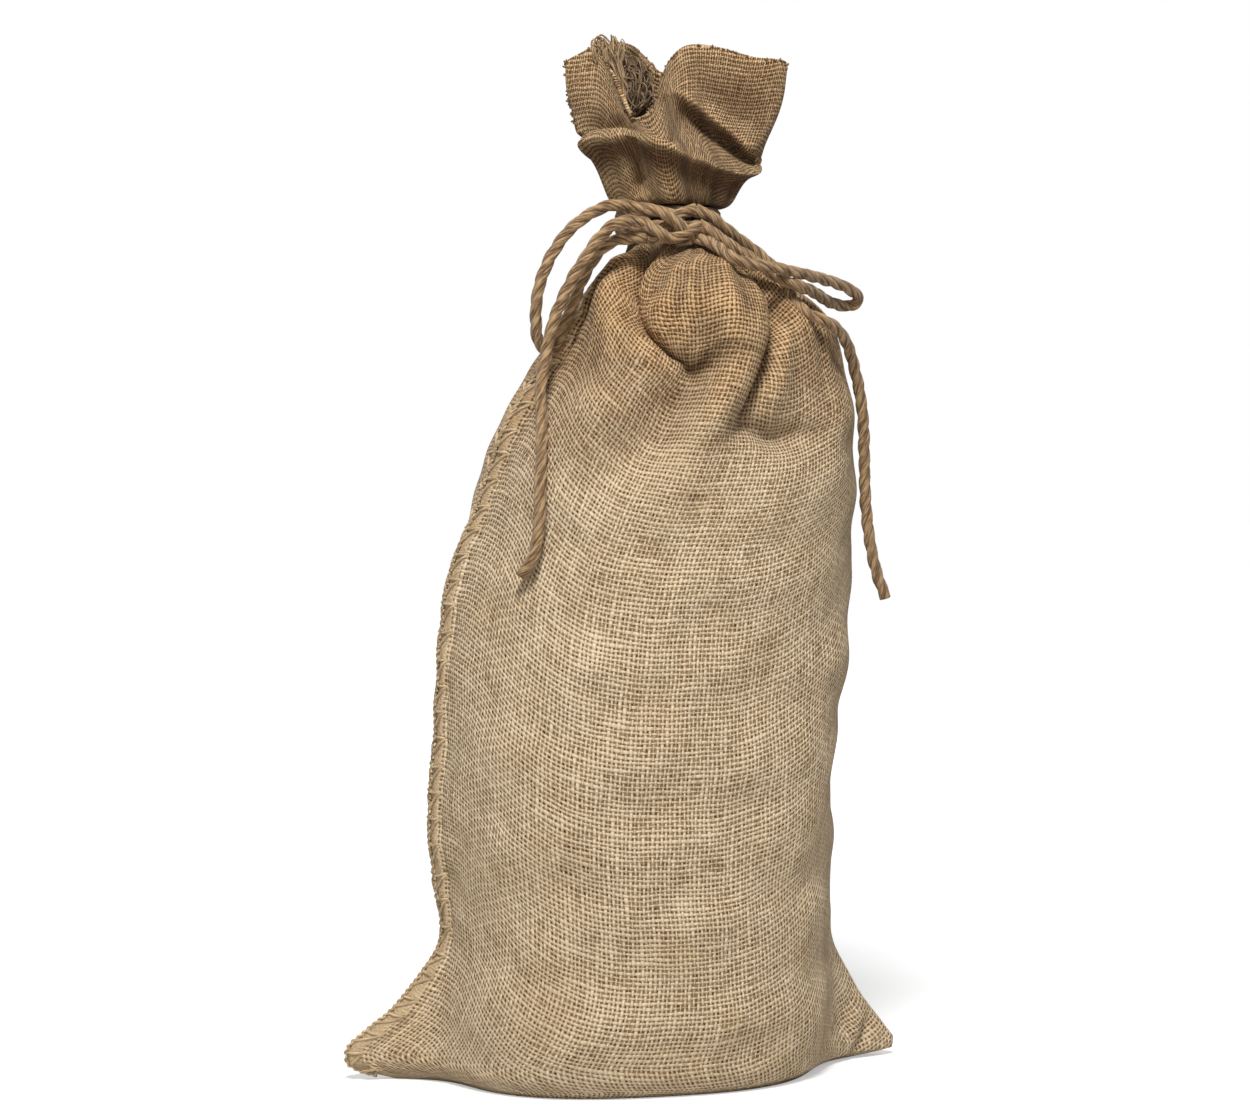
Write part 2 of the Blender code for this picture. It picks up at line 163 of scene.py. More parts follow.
def make_piece(name: str, grid: np.ndarray, uv: np.ndarray, finish: bpy.types.Material,
               marks: Optional[dict] = None, ring: bool = False) -> bpy.types.Object:
    """A piece of one or more skins of cloth or yarn, which rides on the sack.

    Args:
        name: the piece's name.
        grid: its points, an array of (skins, rows, columns, 3), where each row is a closed loop.
        uv: their places on the flat cloth, with one column more.
        finish: its material.
        marks: a value for each point, by its attribute's name.
        ring: whether the last row joins the first. Where it doesn't, both ends are closed.

    Returns:
        The new object, smooth shaded.
    """
    index = np.arange(grid[..., 0].size).reshape(grid.shape[:3])
    if ring:
        index = looped(index)
    beside = np.roll(index, -1, axis=2)
    faces = np.stack([index[:, :-1], beside[:, :-1], beside[:, 1:], index[:, 1:]], axis=-1)
    faces = faces.reshape(-1, 4).tolist()
    corners = np.stack([uv[:, :-1, :-1], uv[:, :-1, 1:], uv[:, 1:, 1:], uv[:, 1:, :-1]], axis=-2)
    corners = corners.reshape(-1, 2)
    if not ring:
        faces += index[:, 0, ::-1].tolist() + index[:, -1].tolist()
        ends = np.stack([uv[:, 0, -2::-1], uv[:, -1, :-1]]).reshape(-1, 2)
        corners = np.concatenate([corners, ends])
    mesh = bpy.data.meshes.new(name)
    mesh.from_pydata(grid.reshape(-1, 3).tolist(), [], faces)
    mesh.shade_smooth()
    mesh.materials.append(finish)
    mesh.uv_layers.new(name=UV_MAP).data.foreach_set("uv", corners.astype(np.float32).ravel())
    for label, values in (marks or {}).items():
        layer = mesh.attributes.new(label, "FLOAT", "POINT")
        layer.data.foreach_set("value", values.ravel().astype(np.float32))
    mesh.update()
    made = placed(name, mesh)
    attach(made, "root")
    return made


# ---------------------------------------------------------------- material building


class NodeDesk:
    """Places and joins nodes in one node tree."""

    def __init__(self, tree: bpy.types.NodeTree) -> None:
        """Works on this tree."""
        self.tree = tree

    def add(self, kind: str, inputs: Optional[dict] = None, **settings) -> bpy.types.Node:
        """Adds a node.

        Args:
            kind: the node's type name.
            inputs: values or sockets for its inputs, by name or number.
            settings: the node's own properties.

        Returns:
            The new node.
        """
        node = self.tree.nodes.new(kind)
        for key, value in settings.items():
            setattr(node, key, value)
        self.dress(node, inputs or {})
        return node

    def dress(self, node: bpy.types.Node, inputs: dict) -> None:
        """Joins sockets to a node's inputs, or sets their values, by name or number."""
        for key, value in inputs.items():
            if isinstance(value, bpy.types.NodeSocket):
                self.tree.links.new(value, node.inputs[key])
            else:
                node.inputs[key].default_value = value

    def math(self, operation: str, *values) -> bpy.types.NodeSocket:
        """The result of a Math node on these values."""
        return self.add("ShaderNodeMath", dict(enumerate(values)), operation=operation).outputs[0]

    def times(self, first, second) -> bpy.types.NodeSocket:
        """Two values multiplied."""
        return self.math("MULTIPLY", first, second)

    def sway(self, value, size: float, onto=0.0) -> bpy.types.NodeSocket:
        """A value's swing about one half, resized and added onto another."""
        return self.math("MULTIPLY_ADD", self.math("SUBTRACT", value, 0.5), size, onto)

    def spread(self, value, low: float, high: float, to_low: float = 0.0,
               to_high: float = 1.0) -> bpy.types.NodeSocket:
        """The value taken smoothly from one range to another."""
        return self.add("ShaderNodeMapRange", dict(enumerate((value, low, high, to_low, to_high))),
                        interpolation_type="SMOOTHSTEP").outputs[0]

    def noise(self, vector, detail: float = 2.0, rough: float = 0.5,
              scale: float = 1.0) -> bpy.types.NodeSocket:
        """A noise's value at this vector."""
        return self.add("ShaderNodeTexNoise", {"Vector": vector, "Scale": scale, "Detail": detail,
                                               "Roughness": rough}).outputs["Fac"]

    def at(self, x, x_scale: float, y, y_scale: float, z: float = 0.0) -> bpy.types.NodeSocket:
        """A vector of two values, each resized, and a third."""
        parts = {0: self.times(x, x_scale), 1: self.times(y, y_scale), 2: z}
        return self.add("ShaderNodeCombineXYZ", parts).outputs[0]

    def split(self, vector: bpy.types.NodeSocket) -> Sequence[bpy.types.NodeSocket]:
        """A vector's three values."""
        return self.add("ShaderNodeSeparateXYZ", {0: vector}).outputs

    def flat_place(self) -> bpy.types.NodeSocket:
        """The place on the flat cloth, in metres."""
        return self.add("ShaderNodeUVMap", uv_map=UV_MAP).outputs[0]

    def mark(self, name: str) -> bpy.types.NodeSocket:
        """The value of one of the mesh's attributes."""
        return self.add("ShaderNodeAttribute", attribute_name=name).outputs["Fac"]

    def mix(self, share, first, second, blend: str = "MIX") -> bpy.types.NodeSocket:
        """Two colours mixed."""
        return self.add("ShaderNodeMix", {0: share, 6: first, 7: second}, data_type="RGBA",
                        blend_type=blend).outputs[2]

    def between(self, share, first, second) -> bpy.types.NodeSocket:
        """Two values mixed."""
        return self.add("ShaderNodeMix", {0: share, 2: first, 3: second},
                        data_type="FLOAT").outputs[0]

    def bump(self, height, distance: float) -> bpy.types.NodeSocket:
        """The normals of a relief."""
        return self.add("ShaderNodeBump", {"Height": height, "Distance": distance}).outputs[0]


def new_material(name: str) -> tuple:
    """A new material, its desk and its shader."""
    made = bpy.data.materials.new(name)
    made.use_nodes = True
    return made, NodeDesk(made.node_tree), made.node_tree.nodes["Principled BSDF"]


@dataclass(frozen=True)
class PlainWeave:
    """A plain weave of uneven yarns that pass over and under each other, in thread pitches.

    Each yarn strays a little from its line, and its fibres lie along it.
    """

    stray: float = 1.1
    swell: float = 3.2
    rise: float = 0.2
    floor: float = -0.45
    soft_edge: tuple = (-0.015, 0.03)
    soft_step: float = 0.04
    own_tint: float = 0.5
    fibre_relief: float = 0.10

    def yarns(self, desk: NodeDesk, line, run, fibres, seeds: tuple, rise: float,
              sizes: tuple) -> tuple:
        """The yarns that lie side by side along line.

        Args:
            desk: the group's desk.
            line: how far across the yarns the point is, in threads.
            run: how far along them it is.
            fibres: where their fibres are read.
            seeds: where their own thickness and tint are read.
            rise: how much a yarn rises where it passes over.
            sizes: how uneven they are, and their half width.

        Returns:
            Their height, cover and tint.
        """
        yarn = desk.math("ROUND", line)
        off = desk.math("SUBTRACT", line, yarn)
        own = desk.noise(desk.at(yarn, 7.31, run, 0.12, seeds[0]), 1.0)
        half = desk.math("MULTIPLY_ADD", desk.sway(own, self.swell), *sizes)
        inside = desk.math("SUBTRACT", desk.times(half, half), desk.times(off, off))
        over = desk.math("COSINE", desk.times(desk.math("ADD", run, yarn), math.pi))
        level = desk.math("MULTIPLY_ADD", over, rise,
                          desk.math("SQRT", desk.math("MAXIMUM", inside, 0.0)))
        cover = desk.spread(inside, *self.soft_edge)
        level = desk.math("MULTIPLY_ADD", desk.math("SUBTRACT", level, self.floor), cover,
                          self.floor)
        own = desk.noise(desk.at(yarn, 3.17, run, 0.05, seeds[1]), 1.0)
        return level, cover, desk.sway(own, self.own_tint, desk.noise(fibres, 3.0, 0.6))

    def build(self) -> bpy.types.NodeTree:
        """The weave's node group.

        Returns:
            A group that puts out the cloth's Height in thread pitches, its Cover (0 in the
            holes) and a Tint that varies from yarn to yarn and along its fibres.
        """
        group = bpy.data.node_groups.new("Plain weave", "ShaderNodeTree")
        for way, kind, titles in (("INPUT", "Vector", ("Vector", "Pitch")),
                                  ("INPUT", "Float", ("Yarn", "Unevenness")),
                                  ("OUTPUT", "Float", ("Height", "Cover", "Tint"))):
            for title in titles:
                group.interface.new_socket(name=title, in_out=way,
                                           socket_type=f"NodeSocket{kind}")
        desk = NodeDesk(group)
        given = desk.add("NodeGroupInput").outputs
        threads = desk.add("ShaderNodeVectorMath", {0: given["Vector"], 1: given["Pitch"]},
                           operation="DIVIDE").outputs[0]
        across, up, _ = desk.split(threads)
        stray_a = desk.noise(desk.at(across, 0.35, up, 0.11))
        stray_b = desk.noise(desk.at(across, 0.11, up, 0.35, 5.0))
        across = desk.sway(stray_a, self.stray, across)
        up = desk.sway(stray_b, self.stray, up)
        sizes = given["Unevenness"], given["Yarn"]
        level_a, cover_a, tint_a = self.yarns(
            desk, across, up, desk.at(across, 9.0, up, 0.9), (3.0, 1.0), self.rise, sizes)
        level_b, cover_b, tint_b = self.yarns(
            desk, up, across, desk.at(across, 0.9, up, 9.0, 4.0), (9.0, 7.0), -self.rise, sizes)
        a_on_top = desk.spread(desk.math("SUBTRACT", level_a, level_b), -self.soft_step,
                               self.soft_step)
        tint = desk.between(a_on_top, tint_b, tint_a)
        height = desk.math("SMOOTH_MAX", level_a, level_b, self.soft_step)
        desk.add("NodeGroupOutput", {
            "Height": desk.sway(tint, self.fibre_relief, height), "Tint": tint,
            "Cover": desk.math("MAXIMUM", cover_a, cover_b)})
        return group


def linear(colour: Sequence[float]) -> tuple:
    """A colour of 0 to 255 as the eye sees it, made linear, with full alpha."""
    parts = [c / 255 for c in colour]
    return (*(p / 12.92 if p <= 0.04045 else ((p + 0.055) / 1.055) ** 2.4 for p in parts), 1.0)


@dataclass(frozen=True)
class BurlapFinish:
    """Coarse undyed jute cloth: a loose plain weave with slubs and fibres, and with painted shade
    in its holes.

    The colours with three parts are as the eye sees them, and those with four are factors.
    """

    pale: tuple = (232, 211, 178)
    tan: tuple = (197, 168, 130)
    patch: tuple = (202, 172, 130)
    # Painted shade in the holes, where the fill behind the yarns lies in shadow, from the dark hole
    # colour to the paler gap colour
    hole: tuple = (80, 55, 34)
    gap: tuple = (160, 131, 97)
    padded_low: tuple = (196, 164, 124)
    padded_high: tuple = (232, 206, 168)
    # Partly painted shade, partly the cloth's own darker tone: factors that darken the colour from
    # the shoulders up to the mouth, the dark parts of the yarns more
    top_tone_and_shade_low: tuple = (0.43, 0.325, 0.23, 1)
    top_tone_and_shade_high: tuple = (0.63, 0.54, 0.435, 1)
    # Painted shade in creases and under overhangs, and painted highlight on ridges, as factors
    crease_shade: tuple = (0.40, 0.33, 0.26, 1)
    ridge_light: tuple = (1.35, 1.33, 1.30, 1)
    mouth_light: tuple = (1.12, 1.15, 1.19, 1)
    roll_heights: tuple = (0.39, 0.43)
    top_tone_and_shade_heights: tuple = (0.29, 0.41)
    relief_shade_heights: tuple = (0.30, 0.40)
    mouth_heights: tuple = (0.46, 0.49)
    roll_width: float = 0.0108
    pitch: tuple = (0.00220, 0.00252, 1.0)
    yarn: float = 0.30
    unevenness: float = 0.16
    relief: float = 0.0020

    def build(self, weave: bpy.types.NodeTree) -> bpy.types.Material:
        """The cloth's material.

        Args:
            weave: the plain weave group.

        Returns:
            The material, which reads the piece's UV map in metres.
        """
        made, desk, shader = new_material("burlap")
        place = desk.flat_place()
        solid = desk.add("ShaderNodeTexCoord").outputs["Object"]
        height = desk.split(solid)[2]
        cloth = desk.add("ShaderNodeGroup", {
            "Vector": place, "Pitch": self.pitch, "Yarn": self.yarn,
            "Unevenness": self.unevenness}, node_tree=weave).outputs
        # Painted highlight on each yarn's crown and painted shade where it dives under: the yarn is
        # paler where it stands higher
        crown_highlight = desk.spread(cloth["Height"], 0.0, 0.5)
        tone = desk.math("MULTIPLY_ADD", crown_highlight, 0.55, desk.times(cloth["Tint"], 0.5))
        yarn = desk.mix(desk.spread(tone, 0.25, 0.95), linear(self.tan), linear(self.pale))
        patch = desk.noise(solid, 3.0, 0.6, 22.0)
        yarn = desk.mix(desk.spread(patch, 0.45, 0.8, 0.0, 0.45), yarn, linear(self.patch))
        # Painted shade in the holes between the yarns
        cell = desk.noise(place, 3.0, 0.7, 260.0)
        hole = desk.mix(desk.spread(cell, 0.38, 0.68), linear(self.gap), linear(self.hole))
        colour = desk.mix(cloth["Cover"], hole, yarn)
        roll = desk.times(desk.spread(desk.mark("Seam"), self.roll_width * 0.8, self.roll_width,
                                      1.0, 0.0),
                          desk.spread(height, *self.roll_heights, 1.0, 0.0))
        u, v, _ = desk.split(place)
        fibres = desk.noise(desk.at(u, 220.0, v, 1500.0), 3.0, 0.6)
        padded = desk.mix(desk.spread(fibres, 0.3, 0.7), linear(self.padded_low),
                          linear(self.padded_high))
        colour = desk.mix(roll, colour, padded)
        # Darker from the shoulders up: partly painted shade, partly the cloth's own darker tone
        top_tone_and_shade = desk.mix(desk.spread(tone, 0.3, 0.9), self.top_tone_and_shade_low, self.top_tone_and_shade_high)
        # Painted shade in creases and on faces turned down, and painted highlight on ridges, from
        # the upper body to the mouth
        ridge = desk.times(desk.spread(height, *self.relief_shade_heights), desk.mark("ShadeAndHighlight"))
        shade = desk.mix(desk.spread(ridge, -1.0, 0.0), self.crease_shade, WHITE)
        for factor in (desk.mix(desk.spread(height, *self.top_tone_and_shade_heights), WHITE, top_tone_and_shade),
                       desk.mix(desk.spread(ridge, 0.0, 1.0), shade, self.ridge_light),
                       desk.mix(desk.spread(height, *self.mouth_heights), WHITE,
                                self.mouth_light)):
            colour = desk.mix(1.0, colour, factor, "MULTIPLY")
        relief = desk.between(roll, cloth["Height"], fibres)
        desk.dress(shader, {"Base Color": colour, "Normal": desk.bump(relief, self.relief),
                            "Roughness": 0.92, "Specular IOR Level": 0.1, "Sheen Weight": 0.06,
                            "Sheen Roughness": 0.5})
        return made


@dataclass(frozen=True)
class TwineFinish:
    """Undyed jute yarn: streaky fibres along the strand, and painted shade in the grooves between
    the plies.
    """

    name: str
    pale: tuple
    tan: tuple
    groove_shade: tuple
    relief: float = 0.0009

    def build(self) -> bpy.types.Material:
        """The yarn's material, which reads the UV map in metres and the Ply attribute."""
        made, desk, shader = new_material(self.name)
        u, v, _ = desk.split(desk.flat_place())
        streak = desk.noise(desk.at(u, 2600.0, v, 110.0), 3.0, 0.65)
        fleck = desk.noise(desk.at(u, 700.0, v, 160.0, 3.0))
        tone = desk.math("MULTIPLY_ADD", streak, 0.55, desk.times(fleck, 0.45))
        colour = desk.mix(desk.spread(tone, 0.40, 0.60), linear(self.tan), linear(self.pale))
        # Painted shade in the grooves between the plies
        dark = desk.times(desk.spread(desk.mark("Ply"), -1.0, -0.55, 0.7, 0.0),
                          desk.spread(fleck, 0.3, 0.6, 0.4, 1.0))
        desk.dress(shader, {"Base Color": desk.mix(dark, colour, linear(self.groove_shade)),
                            "Normal": desk.bump(tone, self.relief), "Roughness": 0.85,
                            "Specular IOR Level": 0.25, "Sheen Weight": 0.2})
        return made


# The third colour of each is the painted shade in the grooves between the plies
TWINE = TwineFinish("twine", (198, 163, 119), (96, 69, 44), (46, 31, 19))
OVERLOCK_YARN = TwineFinish("overlock yarn", (224, 200, 160), (172, 144, 106), (90, 68, 44))
FRAYED_YARN = TwineFinish("frayed burlap yarn", (150, 122, 88), (84, 62, 40), (50, 36, 24))
COMBED_YARN = TwineFinish("combed burlap yarn", (196, 166, 124), (128, 98, 66), (80, 58, 38))
MATTED_FIBRE = TwineFinish("matted burlap fibre", (112, 86, 60), (58, 42, 28), (40, 28, 18))


# ---------------------------------------------------------------- the sack


class Section(NamedTuple):
    """A level cut through the filled body: how far it reaches and how square it is."""

    height: float
    left: float
    right: float
    depth: float
    square: float
    seam: float
    rows: int


# Height, reach to the seam side and the fold side, half depth, exponent, seam angle, mesh rows
SECTIONS = (
    Section(0.000, -0.092, 0.096, 0.075, 2.5, 0, 4),
    Section(0.010, -0.100, 0.104, 0.083, 2.4, 0, 10),
    Section(0.040, -0.100, 0.107, 0.087, 2.3, 0, 11),
    Section(0.075, -0.097, 0.108, 0.087, 2.2, 0, 16),
    Section(0.135, -0.102, 0.113, 0.087, 2.15, 0, 17),
    Section(0.200, -0.099, 0.118, 0.086, 2.1, 0, 16),
    Section(0.260, -0.091, 0.124, 0.085, 2.0, 0, 15),
    Section(0.305, -0.081, 0.1265, 0.084, 2.0, 6, 18),
    Section(0.345, -0.067, 0.126, 0.081, 2.0, 12, 17),
    Section(0.375, -0.050, 0.121, 0.076, 2.0, 15, 16),
    Section(0.400, -0.031, 0.111, 0.068, 2.0, 14, 16),
    Section(0.420, -0.014, 0.092, 0.054, 2.0, 16, 12),
    Section(0.435, 0.000, 0.068, 0.038, 2.0, 27, 9),
    Section(0.445, 0.0030, 0.0450, 0.0210, 2.0, 34, 4),
    Section(0.452, 0.0035, 0.0435, 0.0200, 2.0, 38, 4),
    Section(0.462, 0.0035, 0.0435, 0.0200, 2.0, 38, 0),
)


class Ear(NamedTuple):
    """A bottom corner of the sack, drawn out past the filled body."""

    side: int
    reach: float
    tip_height: float
    root_height: float
    thickness: float


EARS = (
    Ear(-1, 0.152, 0.014, 0.078, 0.012),
    Ear(1, 0.155, 0.006, 0.125, 0.016),
)


class Fold(NamedTuple):
    """A crease (depth below zero) or a swelling along a path of (angle, height, depth) stops."""

    name: str
    width: float
    power: float
    stops: tuple
    lean: float = 0.0


# Angles in degrees from the seam side (-X) round the front, heights and depths in metres
FOLDS = (
    Fold("left roll", 0.0120, 2.0, (
        (38, 0.440, 0.004), (31, 0.427, 0.010), (33, 0.411, 0.011), (40, 0.396, 0.009),
        (50, 0.384, 0.005))),
    Fold("knot crease", 0.0062, 1.7, (
        (46, 0.446, -0.006), (43, 0.431, -0.018), (44, 0.418, -0.021), (51, 0.406, -0.021),
        (59, 0.396, -0.018), (68, 0.387, -0.014), (77, 0.379, -0.009)), 0.009),
    Fold("long trough", 0.0140, 2.0, (
        (80, 0.384, -0.006), (82, 0.374, -0.011), (75, 0.358, -0.013), (68, 0.334, -0.010),
        (58, 0.314, -0.003))),
    Fold("tongue", 0.0200, 2.0, (
        (72, 0.440, 0.003), (80, 0.425, 0.009), (84, 0.410, 0.014), (86, 0.396, 0.014),
        (93, 0.380, 0.008))),
    Fold("right valley", 0.0085, 1.8, (
        (120, 0.440, -0.010), (115, 0.424, -0.018), (111, 0.408, -0.022), (106, 0.392, -0.021),
        (102, 0.375, -0.018), (99, 0.357, -0.013), (97, 0.345, -0.006)), -0.008),
    Fold("right hollow", 0.0180, 2.0, ((124, 0.362, -0.006), (120, 0.350, -0.006))),
    Fold("smile", 0.0070, 1.6, (
        (98, 0.351, -0.003), (104, 0.344, -0.008), (113, 0.338, -0.009), (131, 0.342, -0.004))),
    Fold("left panel", 0.0220, 2.0, ((35, 0.400, 0.002), (50, 0.362, 0.006), (48, 0.340, 0.004))),
    Fold("middle ridge", 0.0130, 2.0, (
        (96, 0.388, 0.006), (91, 0.366, 0.009), (87, 0.344, 0.007), (84, 0.318, 0.002))),
    Fold("back crease", 0.0090, 1.7, (
        (206, 0.442, -0.006), (210, 0.420, -0.013), (217, 0.392, -0.010), (222, 0.365, -0.003))),
    Fold("back trough", 0.0120, 2.0, (
        (262, 0.442, -0.006), (256, 0.420, -0.012), (250, 0.392, -0.009), (252, 0.350, -0.003))),
    Fold("seam-side crease", 0.0090, 1.7, (
        (322, 0.442, -0.006), (316, 0.420, -0.012), (310, 0.394, -0.009), (304, 0.368, -0.002))),
)


class Crease(NamedTuple):
    """A crease or swelling along a path of (x, y, z, depth) stops in millimetres."""

    name: str
    width: float
    power: float
    stops: tuple


# On the bottom corners, from the middle of the floor
EAR_CREASES = (
    Crease("fold end crease", 0.0030, 2.0, (
        (138, -3, 21, -1.8), (135, -6, 16, -4.5), (131, -9, 10, -4.5), (126, -11, 5, -2))),
    Crease("fold end swell", 0.0050, 2.0, ((131, -5, 28, 2), (126, -10, 18, 2.5))),
)

# On the open mouth, from the middle of the neck
MOUTH_CREASES = (
    Crease("cheek crease", 0.0050, 2.0, (
        (-30, 35, 30, -3), (-28, 31, 20, -7), (-25, 28, 10, -7), (-22, 24, 2, -3))),
    Crease("flap swell", 0.0080, 2.0, ((16, -28, 52, 1.5), (36, -24, 55, 2.5), (56, -15, 55, 2))),
)


class Pleat(NamedTuple):
    """A column of the open mouth: (across, forward, up) from the neck at five levels."""

    name: str
    lip: tuple
    pocket: tuple
    brow: tuple
    panel: tuple
    rim: tuple


# Millimetres from the middle of the neck
PLEATS = (
    Pleat("seam edge", (-51, 4, 33), (-51, 3, 38), (-53, 1, 51), (-56, 0, 62), (-56, 0, 76)),
    Pleat("left lobe", (-49, 16, 35), (-47, 10, 38), (-49, 13, 52), (-51, 11, 66), (-49, 8, 80)),
    Pleat("lobe top", (-42, 24, 36), (-40, 15, 38), (-41, 20, 51), (-41, 18, 66), (-43, 14, 82)),
    Pleat("left edge", (-34, 31, 36), (-32, 20, 38), (-34, 24, 48), (-35, 22, 60), (-37, 19, 72)),
    Pleat("notch left", (-26, 37, 34), (-25, 26, 36), (-28, 26, 44), (-30, 25, 50),
          (-32, 25, 56)),
    Pleat("notch", (-15, 41, 31), (-16, 31, 33), (-20, 26, 39), (-23, 26, 42), (-26, 27, 44)),
    Pleat("panel edge", (-6, 42, 28), (-7, 31, 30), (-11, 26, 41), (-13, 24, 45), (-14, 23, 50)),
    Pleat("flap side", (2, 42, 24), (-3, 28, 40), (-7, 28, 56), (-8, 23, 62), (-9, 21, 66)),
    Pleat("flap corner", (10, 41, 22), (2, 25, 45), (-4, 31, 58), (-3, 23, 67), (-3, 19, 77)),
    Pleat("flap top", (17, 40, 19), (10, 22, 42), (4, 34, 53), (6, 24, 67), (6, 19, 84)),
    Pleat("flap middle", (26, 37, 17), (19, 20, 37), (15, 34, 45), (20, 22, 60), (22, 18, 84)),
    Pleat("flap right", (35, 33, 16), (29, 17, 31), (27, 32, 37), (37, 18, 54), (44, 13, 80)),
    Pleat("beak", (45, 26, 18), (41, 13, 24), (40, 26, 29), (56, 11, 51), (62, 6, 80)),
    Pleat("right edge", (49, 10, 24), (51, 3, 27), (52, 8, 34), (64, 1, 57), (67, -4, 77)),
    Pleat("right back", (43, -8, 25), (46, -10, 34), (52, -11, 42), (58, -13, 56), (58, -20, 72)),
    Pleat("first fold in", (26, -12, 24), (28, -8, 36), (30, -7, 45), (31, -6, 56),
          (35, -2, 70)),
    Pleat("first fold out", (14, -30, 24), (15, -33, 36), (16, -33, 45), (17, -33, 56),
          (19, -31, 70)),
    Pleat("second fold in", (2, -14, 24), (2, -11, 36), (3, -9, 46), (1, -8, 58), (-2, -7, 73)),
    Pleat("second fold out", (-12, -31, 24), (-13, -34, 36), (-13, -34, 46), (-12, -32, 62),
          (-9, -28, 87)),
    Pleat("third fold in", (-22, -14, 26), (-24, -12, 38), (-25, -11, 48), (-26, -9, 64),
          (-27, -8, 88)),
    Pleat("left back", (-38, -17, 29), (-41, -19, 41), (-42, -19, 50), (-44, -17, 64),
          (-45, -16, 80)),
)


@dataclass
class SackCloth:
    """The filled body and its open mouth: one closed form of cloth, sewn at its left side."""

    flat_width: float = 0.300
    flat_length: float = 0.600
    thickness: float = 0.0022
    front_columns: int = 216
    back_columns: int = 96
    ring_points: int = 1440
    fold_steps: int = 8
    bend_steps: int = 7
    flat_steps: int = 5
    underside_rings: tuple = (0.94, 0.8, 0.6, 0.4, 0.2)
    neck_height: float = 0.462
    neck_lean: float = 0.0235
    neck_pleats: int = 11
    pleat_steps: int = 40
    near_seam: int = 30
    pleat_depth: float = 0.0009
    pinch_from: float = 0.424
    pinch_to: float = 0.444
    skirt: tuple = (0.48, 0.48, -0.03)
    under_lip: tuple = (0.82, 0.82, 0.73)
    lip: tuple = (1.01, 1.01, 0.93)
    crest: tuple = (0.92, 0.92, 1.08)
    roundness: tuple = (0.30, 0.40, 0.40, 0.40, 0.30, 0.22, 0.50)
    lining_floor: float = 0.45
    lining_drop: float = 0.004
    ear_fall: float = 2.1
    ear_foot: float = 0.55
    ear_cap: float = 0.93
    ear_spread: float = 1.3
    ear_blunt: float = 0.03
    seam_ridge: float = 0.0022
    seam_reach: float = 0.0112
    seam_groove: float = 0.0016
    seam_foot: float = 0.012
    stitch_pitch: float = 0.0142
    # The painted shade and highlight of the relief: how far it is smoothed, its scale, and the
    # painted shade on faces turned down
    ridge_rounds: int = 24
    ridge_scale: float = 0.0012
    underside_shade: float = 1.1
    gather: float = 0.35
    even_rounds: int = 10
    weft_droop: float = 0.016
    droop_width: float = 0.050
    ridge_shares: tuple = (0.0, 0.2, 0.4, 0.5, 0.65, 0.79, 1.0)
    swells: tuple = ((0.085, 0.0012), (0.045, 0.0007), (0.024, 0.0003))
    swell_waves: int = 5
    soft_pleats: tuple = ((17, 0.0010), (26, 0.0008), (41, 0.0004))
    soft_pleat_heights: tuple = (0.33, 0.425)
    foot_heights: tuple = (0.004, 0.03)
    full_crease: float = 0.010
    least_crease: float = 0.03
    pleat_heights: tuple = (0.39, 0.444)
    gather_heights: tuple = (0.33, 0.41)
    mouth_foot: float = 0.012
    seam_line: float = 0.0016
    shape: np.ndarray = field(init=False, repr=False)
    outward: np.ndarray = field(init=False, repr=False)
    from_seam: np.ndarray = field(init=False, repr=False)

    @property
    def neck_middle(self) -> np.ndarray:
        """The middle of the neck, where the mouth starts."""
        return np.array([self.neck_lean, 0, self.neck_height])

    @property
    def columns(self) -> int:
        """How many columns of the mesh go round the cloth."""
        return self.front_columns + self.back_columns

    def turns(self) -> np.ndarray:
        """Each column's share of the way round the cloth, closer together over the front."""
        front = np.arange(self.front_columns) / self.front_columns
        back = np.arange(self.back_columns) / self.back_columns
        return np.concatenate([front, 1 + back]) / 2

    def section_rows(self) -> np.ndarray:
        """The sections of all the mesh's rows, on a smooth curve through the table."""
        table = np.array([s[:6] for s in SECTIONS])
        rows = [spline(table, section.rows)[i * section.rows:(i + 1) * section.rows]
                for i, section in enumerate(SECTIONS[:-1])]
        return np.vstack([*rows, table[-1:]])

    def ear_reach(self, ear: Ear, height: float) -> float:
        """How far an ear stands out past the body, from 0 at its root to 1 at its tip."""
        if height <= ear.tip_height:
            share = math.sin(math.pi / 2 * height / ear.tip_height)
            return self.ear_foot + (1 - self.ear_foot) * share
        share = (height - ear.tip_height) / (ear.root_height - ear.tip_height)
        return max(0.0, 1 - share) ** self.ear_fall

    def ring(self, row: np.ndarray) -> np.ndarray:
        """The outline of one section as a closed loop that starts at the seam."""
        height, left, right, depth, square, seam = row
        turn = np.radians(seam) + circle(self.ring_points)
        across, forward = (np.sign(part) * np.abs(part) ** (2 / square)
                           for part in (np.cos(turn), np.sin(turn)))
        x = (left + right) / 2 - (right - left) / 2 * across
        y = -depth * forward
        for ear in EARS:
            body = -left if ear.side < 0 else right
            spread = np.sqrt((y / ear.thickness) ** 2 + self.ear_blunt)
            spread -= math.sqrt(self.ear_blunt)
            spike = (ear.reach - body) * min(self.ear_reach(ear, height), self.ear_cap)
            x += ear.side * spike * np.exp(-self.ear_spread * spread) * (across * ear.side < 0)
        return np.column_stack([x, y, np.full(self.ring_points, height)])

    def resampled(self, loop: np.ndarray) -> np.ndarray:
        """A closed loop's points at the columns' turns, starting from its first point."""
        closed = looped(loop, 0)
        far = along(closed)
        return matched(self.turns() * far[-1], far, closed)

    def surface_point(self, rows: np.ndarray, angle: float, height: float) -> np.ndarray:
        """The point of the unfolded body at this angle from the seam side and this height."""
        row = np.array([np.interp(height, rows[:, 0], rows[:, k]) for k in range(6)])
        row[0], row[5] = height, 0
        return self.ring(row)[round(angle / 360 * self.ring_points) % self.ring_points]

